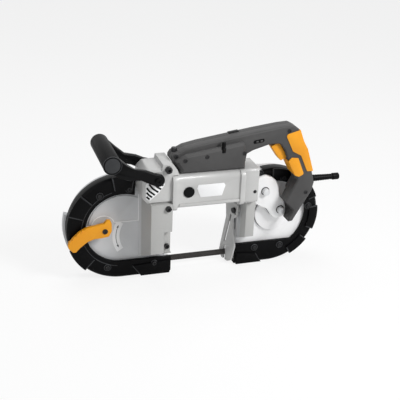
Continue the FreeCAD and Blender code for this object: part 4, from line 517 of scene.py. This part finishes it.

# %% [markdown]
# ## Bumper screws
# Each bumper is held by screws in round bosses between the pads, and a ring of lighter grey rubber round
# each boss paints the highlight on its edge. The first one is modelled in its place. The others lie in the
# same plane, so a copy only has to be shifted.

# %% Bumper screws, bosses and rings
bumper_spots = [(-199.3, 71.6), (-143.8, 80.8), (-186.4, -80.0), (-93.3, -82.0), (118.5, 90.5),
                (169.4, 77.2), (229.0, 10.0), (172.5, -72.0), (117.3, -72.0)]
first_x, first_z = bumper_spots[0]
boss_place = (first_x, 0.6, first_z)
first_screw = socket_screw("bumper_screw_0", (first_x, -1.6, first_z), radius=4.2, height=2.2)
dress(first_screw, "dark_screw")
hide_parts("bumper_screws")
boss = turned("screw_boss_0", [(6.0, 0.0), (6.0, 2.6), (5.5, 3.0)], boss_place, "-Y")
# This ring paints the highlight round the boss's edge.
ring = turned("screw_ring_0", [(7.2, 0.0), (7.2, 2.2), (6.8, 2.6)], boss_place, "-Y")
dress(ring, "painted_highlight_rubber")
dress(boss, "black_rubber")
for i, (x, z) in enumerate(bumper_spots[1:], 1):
    shift = (x - first_x, 0.0, z - first_z)
    dress(copied(first_screw, f"bumper_screw_{i}", shift), "dark_screw")
    dress(copied(boss, f"screw_boss_{i}", shift), "black_rubber")
    dress(copied(ring, f"screw_ring_{i}", shift), "painted_highlight_rubber")
print("bumper screws:", len(bumper_spots))

# %% [markdown]
# ## Shell screws
# The two halves of the grey shell are screwed together from the motor side. The screws sit at different
# depths, because the shell narrows from the motor cover to the grip, so each copy is shifted in all three
# directions.

# %% Screws of the grey shells
shell_spots = [(-52.0, -54.0, 150.5), (-10.5, -54.0, 155.0), (62.0, -54.0, 156.6), (-66.5, -42.0, 156.0),
               (154.0, -42.0, 190.0), (200.0, -42.0, 60.6)]
screw_sink = 0.4
first_x, first_y, first_z = shell_spots[0]
shell_screw = socket_screw("shell_screw_0", (first_x, first_y + screw_sink, first_z), radius=4.0,
                           height=1.6)
dress(shell_screw, "dark_screw")
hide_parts("shell_screws")
for i, (x, y, z) in enumerate(shell_spots[1:], 1):
    twin = copied(shell_screw, f"shell_screw_{i}", (x - first_x, y - first_y, z - first_z))
    dress(twin, "dark_screw")
print("shell screws:", len(shell_spots))

# %% [markdown]
# ## Single screws
# The column, the motor flange and the gear case have screws of their own sizes, so these are modelled one
# by one. The lug screw on top stands upright and has a domed head without a socket.

# %% Screws of the column, the motor flange and the top lug
single_screws = [("column_screw_top", (-84.0, -60.8, 62.0), 5.6, 5.0),
                 ("column_screw_low", (-83.0, -48.8, -20.0), 5.0, 6.0),
                 ("flange_screw", (-84.0, -54.8, 137.0), 6.4, 7.0),
                 ("case_screw", (88.7, -51.6, 76.3), 3.4, 1.2)]
for name, place, radius, height in single_screws:
    dress(socket_screw(name, place, radius, height), "dark_screw")
lug_screw = turned("lug_screw", [(5.4, 0.0), (5.4, 6.0), (4.6, 7.4), (3.0, 7.6)], (-66.0, -25.0, 160.5),
                   "+Z")
dress(lug_screw, "dark_screw")
print("single screws:", len(single_screws) + 1)

# %% [markdown]
# ## Tension lever
# A thumb lever that slackens the blade. It is moulded in orange plastic, turns on a black socket screw and
# has grip ridges near its tip. The ridges could be cut into the lever, but bars set across it leave its
# mesh alone.

# %% Ridges and pivot screw of the lever
lever_pivot = (-193.0, 5.0)
lever_reach = 70.0
ridge_places = [(-0.60, 0.075, 62), (-0.72, -0.005, 52), (-0.82, -0.10, 45), (-0.91, -0.205, 38)]
ridge_corners = ((-1.3, -1.2), (1.3, -1.2), (1.3, 5.5), (-1.3, 5.5))
for i, (x, z, lean) in enumerate(ridge_places):
    turn = math.radians(lean + 180.0)
    across = (math.cos(turn), math.sin(turn))
    along = (math.cos(turn + math.pi / 2), math.sin(turn + math.pi / 2))
    centre = (lever_pivot[0] + lever_reach * x, lever_pivot[1] + lever_reach * z)
    outline = [(centre[0] + along[0] * a + across[0] * b, centre[1] + along[1] * a + across[1] * b)
               for a, b in ridge_corners]
    moulded(f"lever_ridge_{i}", outline, far=-8.0, near=-15.9, edge=0.5, look="orange_plastic",
            body="lever")
pivot = socket_screw("lever_pivot_screw", (lever_pivot[0], -14.8, lever_pivot[1]), radius=5.2, height=1.9)
dress(pivot, "dark_screw", "lever")
print("lever ridges:", len(ridge_places))

# %% [markdown]
# ## Tension spring
# The spring behind the left panel pushes the wheel carriage out and gets shorter when the lever draws it
# in. One end stays on the frame. The coil is swapped for a copy with a mesh of its own, dressed in steel.
# As a rigid coil it would poke through the carriage.

# %% Copy of the spring coil
spring = cad_copy("tension_spring", "tension_spring_coil")
dress(spring, "steel")
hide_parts("tension_spring")
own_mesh(spring)

# %% [markdown]
# ## Painted highlights and plates on the left panel
# The raised step and the lever's boss end in narrow rounded beads, painted white for the highlight their
# edges catch. Beside the lever lies a curved plate with a double arrow, which tells which way the lever
# turns. An image on the plate would do, but an arrow that is raised a little stays sharp from close by.

# %% Painted highlight beads of the step and the arrow plate
panel_face = 8.2
# The white of these beads paints the highlight on the edges of the step and round the lever's boss.
bead_highlights = {"bead_highlight_side": [(-124.8, 13.0), (-122.4, 11.2), (-122.4, 66.0), (-124.8, 66.0)],
         "bead_highlight_floor": [(-171.0, 11.0), (-122.4, 11.0), (-122.4, 13.2), (-171.0, 13.2)],
         "bead_highlight_ring": band(*lever_pivot, 21.8, 23.6, 20, 165)}
for name, outline in bead_highlights.items():
    moulded(name, outline, far=panel_face, near=5.3, edge=0.4, look="white_paint")
arrow_centre = (-112, -19)
moulded("arrow_plate", band(*arrow_centre, 49, 63, 148, 212), far=panel_face, near=7.5, edge=0.25,
        look="white_paint")
arrow_back, arrow_front = 7.7, 7.35
dress(slab("arrow_line", band(*arrow_centre, 55.4, 56.4, 160, 200), arrow_back, arrow_front),
      "black_plastic")
tip, tail, half = 3.4, 2.4, 2.0
for i, (turn, way) in enumerate(((158.0, -1.0), (202.0, 1.0))):
    x, z = arc(*arrow_centre, 55.9, turn, turn, 1)[0]
    out = (math.cos(math.radians(turn)), math.sin(math.radians(turn)))
    ahead = (-out[1] * way, out[0] * way)
    outline = [(x + ahead[0] * tip, z + ahead[1] * tip),
               (x - ahead[0] * tail + out[0] * half, z - ahead[1] * tail + out[1] * half),
               (x - ahead[0] * tail - out[0] * half, z - ahead[1] * tail - out[1] * half)]
    dress(slab(f"arrow_head_{i}", outline, arrow_back, arrow_front), "black_plastic")
print("beads:", len(bead_highlights))

# %% [markdown]
# ## Gear cover bolts
# Two large domed bolts close the gear cover over the drive train. They are turned pieces over dark grey
# rings that paint the shadow round each bolt's foot.
# A sphere cut in half would be rounder than the flat dome that such a bolt has.

# %% Domed bolts
bolt_x, bolt_z = 127.0, 57.0
dome = turned("cover_bolt_0", [(7.0, 0.0), (7.0, 7.4), (6.5, 8.3), (5.2, 8.9), (3.0, 9.2), (0.8, 9.3)],
              (bolt_x, -12.0, bolt_z), "-Y")
dress(dome, "bright_bolt")
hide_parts("gear_cover_bolts")
# A dark grey ring under each bolt paints the shadow round its foot.
shadow_ring = turned("cover_shadow_ring_0", [(8.6, 0.0), (8.6, 0.5), (8.2, 0.8)], (bolt_x, -11.8, bolt_z), "-Y")
dress(shadow_ring, "painted_shade_grey")
second_bolt = (35.0, 0.0, -43.0)
dress(copied(dome, "cover_bolt_1", second_bolt), "bright_bolt")
dress(copied(shadow_ring, "cover_shadow_ring_1", second_bolt), "painted_shade_grey")
print("dome faces:", len(dome.data.polygons))

# %% [markdown]
# ## Gear cover
# The cover is a white casting that follows the gears behind it: a wide round at the top, drawn in at the
# waist, and a smaller round at the foot. A thin dark grey strip round it marks its joint to the frame and
# paints the shade of its side wall and its shadow. A dark grey arc on the lower left of the drive shaft's
# boss paints the shadow of the boss's edge. The outline is drawn point by point, because two joined
# circles would miss the waist.

# %% Cover casting, its dark joint strip and the painted shadow of the drive boss
cover_outline = (arc(bolt_x, bolt_z, 30.6, 84, 214, 24)
                 + [(109.4, 30.8), (116.0, 26.2), (122.8, 22.9), (131.6, 18.8), (135.6, 14.6),
                    (138.7, 10.3), (143.8, 2.5), (150.6, -3.1), (157.0, -5.0), (163.8, -4.4),
                    (169.6, -1.0), (173.9, 4.5), (175.0, 10.0), (174.0, 15.6), (171.4, 24.5),
                    (167.0, 33.9), (162.6, 39.0), (158.6, 43.4), (156.2, 50.5), (155.1, 58.8),
                    (152.6, 68.5), (148.3, 76.6), (140.5, 84.0)])
cover = moulded("gear_cover_casting", cover_outline, far=3.2, near=-12.0, edge=1.3, look="white_paint",
                segments=3)
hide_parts("gear_cover")
mid_x, mid_z, growth = 137.0, 42.0, 1.026
wider = [(mid_x + (x - mid_x) * growth, mid_z + (z - mid_z) * growth) for x, z in cover_outline]
# A dark strip just outside the cover paints the shade along its edge and joint.
moulded("cover_joint_shade", wider, far=2.4, near=-1.6, edge=0.3, look="painted_shade_grey")
# A dark arc on the boss's lower left paints its shadow.
drive_axle = (152, 0)
moulded("boss_shadow", band(*drive_axle, 35.2, 37.4, 140, 320, 48), far=panel_face, near=7.4, edge=0.25,
        look="painted_shade_grey")
print("cover faces:", len(cover.data.polygons))

# %% [markdown]
# ## Fittings of the grey shells
# A lock button sits in an oblong recess in the side of the bar and a release on top of it, and a short post
# closes the cover. They are small mouldings clipped into the shells. Low plates with rounded edges and a
# turned post show them well.

# %% Lock button, release and post
recess = [(84.0, 169.0), (103.0, 171.6), (105.0, 174.6), (103.4, 178.6), (85.0, 176.2), (82.6, 173.0)]
moulded("lock_recess", recess, far=-41.6, near=-42.6, edge=0.4, look="black_plastic")
stud_wide = 4.6
for i, x in enumerate((88.0, 96.5)):
    outline = [(x, 171.6 + i), (x + stud_wide, 172.2 + i), (x + stud_wide, 175.4 + i), (x, 174.8 + i)]
    moulded(f"lock_stud_{i}", outline, far=-42.2, near=-43.4, edge=0.5, look="grey_plastic")
release = [(41.0, 183.0), (62.0, 186.4), (61.2, 189.0), (41.6, 185.9)]
moulded("bar_release", release, far=-9.0, near=-20.0, edge=1.0, look="black_plastic")
post = turned("cover_post", [(4.6, 0.0), (4.6, 7.0), (3.6, 8.2), (3.6, 19.5), (2.8, 20.6)],
              (21.2, -51.4, 161.0), "+Z", sides=28)
dress(post, "black_plastic")
print("post faces:", len(post.data.polygons))

# %% [markdown]
# ## Motor housing
# The housing ends below in a cast lip, and on its side is a low blank plate. Both stand proud of the
# casting, so each is an outline pushed out of it. They could be part of the CAD solid, but only their edges
# are seen.

# %% Lip and blank plate
lip = moulded("motor_lip", [(-62.0, 62.5), (58.0, 62.5), (58.0, 67.6), (-62.0, 67.6)], far=-53.0,
              near=-60.0, edge=0.9, look="silver_paint")
plate_outline = [(-27.0, 103.0), (23.0, 103.0), (26.0, 98.0), (20.0, 78.0), (-22.0, 78.0), (-29.0, 96.0)]
plate = moulded("blank_plate", plate_outline, far=-57.8, near=-58.6, edge=0.3, look="white_paint")
print("motor pieces:", lip.name, plate.name)

# %% [markdown]
# ## Cord boot
# The rubber boot keeps the cord from kinking where it enters the grip. It tapers, with shallow ribs that
# let it bend and a bead at its mouth. It is turned in one piece, ribs and bore together.

# %% Ribbed boot
ribs, rib_pitch, rib_depth, taper = 8, 5.2, 0.35, 0.15
profile = [(6.9, 0.0), (6.9, 12.0)]
for i in range(ribs):
    start, wide = 13.0 + i * rib_pitch, 6.7 - i * taper
    profile += [(wide - rib_depth, start), (wide - rib_depth, start + 1.6), (wide, start + 2.0),
                (wide, start + 4.6)]
profile += [(5.2, 56.0), (6.8, 57.0), (6.8, 69.0), (6.2, 70.0), (4.2, 70.0), (4.2, 58.0)]
boot = turned("cord_boot_ribbed", profile, (206.0, -25.0, 82.0), "+X")
dress(boot, "black_rubber")
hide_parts("cord_boot")
print("boot faces:", len(boot.data.polygons))

# %% [markdown]
# ## Arms of the front handle
# The front handle is a tube across the saw on two arms of glass-filled plastic. Seen from the end, each arm
# swells into the tube. An arm could be lofted between sections. Here its outline is pushed out and the end
# by the tube is then drawn along it, so the arm runs slantwise from the bolt to the tube's end.

# %% Arms drawn out along the tube
tube_x, tube_z = -194.0, 168.0
foot_x, foot_z = -106.0, 123.0
arm_outline = (arc(tube_x, tube_z, 15.4, 62, 262, 16) + [(-180, 141.5), (-160, 131), (-138, 126)]
               + arc(foot_x, foot_z, 12.0, 232, 418, 10)
               + [(-113, 137), (-128, 144), (-150, 149), (-166, 162)])
draw_from, draw_run = -143.0, 38.0
same_face = 1e-6


def handle_arm(name, far, near, draw_near, draw_far, replaced):
    """An arm whose end at the tube is drawn along it. Distances are in millimetres along Y."""
    arm = slab(name, arm_outline, far, near)
    for vertex in arm.data.vertices:
        share = soft((draw_from - front_view(vertex.co)[0]) / draw_run)
        is_near = abs(vertex.co.y - spot(0, near, 0).y) < same_face
        vertex.co.y += share * (draw_near if is_near else draw_far) / per_metre
    round_edges(arm, 2.4, segments=3)
    dress(arm, "black_plastic")
    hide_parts(replaced)
    return arm


near_arm = handle_arm("front_arm_near", far=-62.0, near=-72.0, draw_near=-20.5, draw_far=-12.0,
                      replaced="front_handle_arm_near")
far_arm = handle_arm("front_arm_far", far=18.0, near=8.0, draw_near=4.0, draw_far=8.0,
                     replaced="front_handle_arm_far")
print("arm faces:", len(near_arm.data.polygons), len(far_arm.data.polygons))

# %% [markdown]
# ## Tube of the front handle
# The hand holds a black rubber tube with a dished end, and a thin ring of lighter grey rubber at its rim
# paints the highlight on that edge. A plain cylinder would have a flat end, so the tube is turned with its
# dish in one profile. A bolt through each arm's foot holds the handle to the motor's end cap.

# %% Tube, rim and bolts of the front handle
tube_profile = [(15.6, 0.0), (16.5, 1.0), (16.5, 121.5), (16.0, 122.6), (14.4, 123.0), (13.6, 122.6),
                (13.2, 121.8), (0.6, 121.6)]
tube = turned("front_grip_tube", tube_profile, (tube_x, 28.0, tube_z), "-Y", sides=64)
dress(tube, "black_rubber")
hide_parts("front_handle_grip")
# A lighter ring paints the highlight on the tube's rim.
rim = turned("front_grip_rim", [(16.75, 0.0), (16.75, 0.9), (16.3, 1.2)], (tube_x, -93.4, tube_z), "-Y",
             sides=64)
dress(rim, "painted_highlight_rubber")
bolt = socket_screw("arm_bolt_near", (foot_x, -71.6, foot_z), radius=5.6, height=2.6)
dress(bolt, "black_plastic")
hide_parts("handle_bolts")
far_bolt = turned("arm_bolt_far", [(6.6, 0.0), (6.6, 3.6), (6.0, 4.2)], (foot_x, 22.0, foot_z), "-Y")
dress(far_bolt, "dark_screw")
print("front handle:", len(tube.data.polygons), "faces on the tube")

# %% [markdown]
# ## Air slots
# Cooling air enters the motor through curved slots in its end cap. A pale louvre plate carries them. On the
# saw the plate is part of the cap and the slots are openings, dark with shade and the black guard behind.
# Here each slot's dark is painted on as a black bent strip, made by giving a line of points a width, that
# stands a little proud of the plate.

# %% Louvre plate and the painted dark of its slots
louvre = [(-126.0, 110.0), (-122.0, 116.0), (-91.0, 114.0), (-90.5, 107.5), (-101.0, 93.0), (-117.0, 79.0),
          (-124.5, 82.0)]
moulded("louvre_plate", louvre, far=-54.6, near=-55.5, edge=0.3, look="white_paint")


def strip(line, half):
    """The outline of a bent strip of even width along a line of points."""
    sides = []
    for before, here, after in zip(line[:1] + line, line, line[1:] + line[-1:]):
        run = (Vector(after) - Vector(before)).normalized() * half
        sides.append(((here[0] - run.y, here[1] + run.x), (here[0] + run.y, here[1] - run.x)))
    return [left for left, right in sides] + [right for left, right in reversed(sides)]


slot_half = 1.7
slot_lines = [[(-100.6, 113.0), (-97.0, 109.2), (-93.0, 106.8)],
              [(-110.6, 112.0), (-104.0, 104.3), (-97.0, 99.8)],
              [(-119.6, 111.6), (-112.9, 102.4), (-102.3, 94.3)],
              [(-124.0, 104.6), (-119.0, 97.8), (-108.6, 89.2)],
              [(-124.2, 95.6), (-120.0, 90.6), (-114.0, 85.2)],
              [(-124.0, 87.4), (-121.7, 84.6), (-118.2, 81.6)]]
# Black strips on the plate paint the shade inside the slots and the guard behind them.
for i, line in enumerate(slot_lines):
    moulded(f"slot_shade_{i}", strip(line, slot_half), far=-55.0, near=-55.9, edge=0.25,
            look="black_plastic")
print("slots:", len(slot_lines))

# %% [markdown]
# ## Floor
# A pale matt floor, as in a product photograph. To the camera it mostly glows white, so it runs into the
# background, and a soft shadow is left under the saw. A white floor alone would look grey wherever the
# lamps don't reach.

# %% Floor
bpy.ops.object.select_all(action="DESELECT")
bpy.ops.mesh.primitive_plane_add(size=8.0, location=(0.0, 1.0, -0.0005))
floor = bpy.context.object
floor.name = "floor"
floor_look = bpy.data.materials.new("floor_look")
floor_look.use_nodes = True
tree = floor_look.node_tree
matt = tree.nodes["Principled BSDF"]
matt.inputs["Base Color"].default_value = (0.9, 0.9, 0.9, 1.0)
matt.inputs["Roughness"].default_value = 0.9
glow = tree.nodes.new("ShaderNodeEmission")
glow.inputs["Strength"].default_value = 1.0
path = tree.nodes.new("ShaderNodeLightPath")
glow_share = tree.nodes.new("ShaderNodeMath")
glow_share.operation = "MULTIPLY"
glow_share.inputs[1].default_value = 0.82
tree.links.new(path.outputs["Is Camera Ray"], glow_share.inputs[0])
mixed = tree.nodes.new("ShaderNodeMixShader")
tree.links.new(glow_share.outputs["Value"], mixed.inputs["Fac"])
tree.links.new(matt.outputs["BSDF"], mixed.inputs[1])
tree.links.new(glow.outputs["Emission"], mixed.inputs[2])
tree.links.new(mixed.outputs["Shader"], tree.nodes["Material Output"].inputs["Surface"])
floor.data.materials.append(floor_look)
print("floor:", floor.dimensions[:2])

# %% [markdown]
# ## Background
# The background is white only to the camera and to what is seen in gloss or glass, so it doesn't flood the
# saw with light. More light could whiten it too, but would bleach the silver.

# %% World
scene = bpy.context.scene
scene.view_settings.view_transform = "Standard"
world = bpy.data.worlds.new("studio")
scene.world = world
world.use_nodes = True
tree = world.node_tree
soft_light = tree.nodes["Background"]
soft_light.inputs["Color"].default_value = (0.8, 0.81, 0.82, 1.0)
soft_light.inputs["Strength"].default_value = 0.30
white = tree.nodes.new("ShaderNodeBackground")
white.inputs["Color"].default_value = (1.0, 1.0, 1.0, 1.0)
white.inputs["Strength"].default_value = 1.0
path = tree.nodes.new("ShaderNodeLightPath")
seen = path.outputs["Is Camera Ray"]
for other in ("Is Glossy Ray", "Is Transmission Ray"):
    either = tree.nodes.new("ShaderNodeMath")
    either.operation = "MAXIMUM"
    tree.links.new(seen, either.inputs[0])
    tree.links.new(path.outputs[other], either.inputs[1])
    seen = either.outputs[0]
blend = tree.nodes.new("ShaderNodeMixShader")
tree.links.new(seen, blend.inputs["Fac"])
tree.links.new(soft_light.outputs["Background"], blend.inputs[1])
tree.links.new(white.outputs["Background"], blend.inputs[2])
tree.links.new(blend.outputs["Shader"], tree.nodes["World Output"].inputs["Surface"])
print("world:", world.name)

# %% [markdown]
# ## Lamps
# The light in the photograph comes from the front right: left-facing walls are dark. So the strongest lamp
# stands there, a weak one opens the shade on the left, and one above draws the upper edges. Square area
# lamps give the soft shadows of a studio, where a sun lamp's would be hard.

# %% Lamps
middle_of_saw = (0.0, 0.0, 0.15)


def lamp(name, place, size, power):
    """A soft square lamp that looks at the saw."""
    bpy.ops.object.light_add(type="AREA", location=place)
    light = bpy.context.object
    light.name = name
    light.data.size = size
    light.data.energy = power
    light.rotation_euler = (Vector(middle_of_saw) - Vector(place)).to_track_quat("-Z", "Y").to_euler()
    return light


lamps = [lamp("key", (1.0, -1.3, 1.5), size=0.6, power=33.0),
         lamp("fill", (-1.5, -1.1, 0.9), size=1.2, power=3.0),
         lamp("top", (-0.2, 0.4, 1.8), size=1.2, power=12.0)]
print("lamps:", [light.name for light in lamps])

# %% [markdown]
# ## Camera
# The camera has the photograph's angle: a little left of the motor side, above the saw and slightly tilted.
# Its axes are worked out from those three angles. A Track To constraint could aim it, but would lose the
# tilt.

# %% Camera
azimuth, elevation, roll = math.radians(18.4), math.radians(24.0), math.radians(2.4)
level = Vector((math.sin(azimuth), math.cos(azimuth), 0.0))
ahead = level * math.cos(elevation) + Vector((0.0, 0.0, -math.sin(elevation)))
across = Vector((math.cos(azimuth), -math.sin(azimuth), 0.0))
upward = level * math.sin(elevation) + Vector((0.0, 0.0, math.cos(elevation)))
right = across * math.cos(roll) + upward * math.sin(roll)
up = upward * math.cos(roll) - across * math.sin(roll)
camera_data = bpy.data.cameras.new("photo_camera")
camera_data.sensor_width = 36.0
camera_data.lens = 70.84
camera = bpy.data.objects.new("photo_camera", camera_data)
camera.matrix_world = Matrix((right, up, -ahead)).transposed().to_4x4()
camera.location = (-0.4487, -1.2981, 0.7727)
scene.collection.objects.link(camera)
scene.camera = camera
print("camera at", tuple(camera.location))
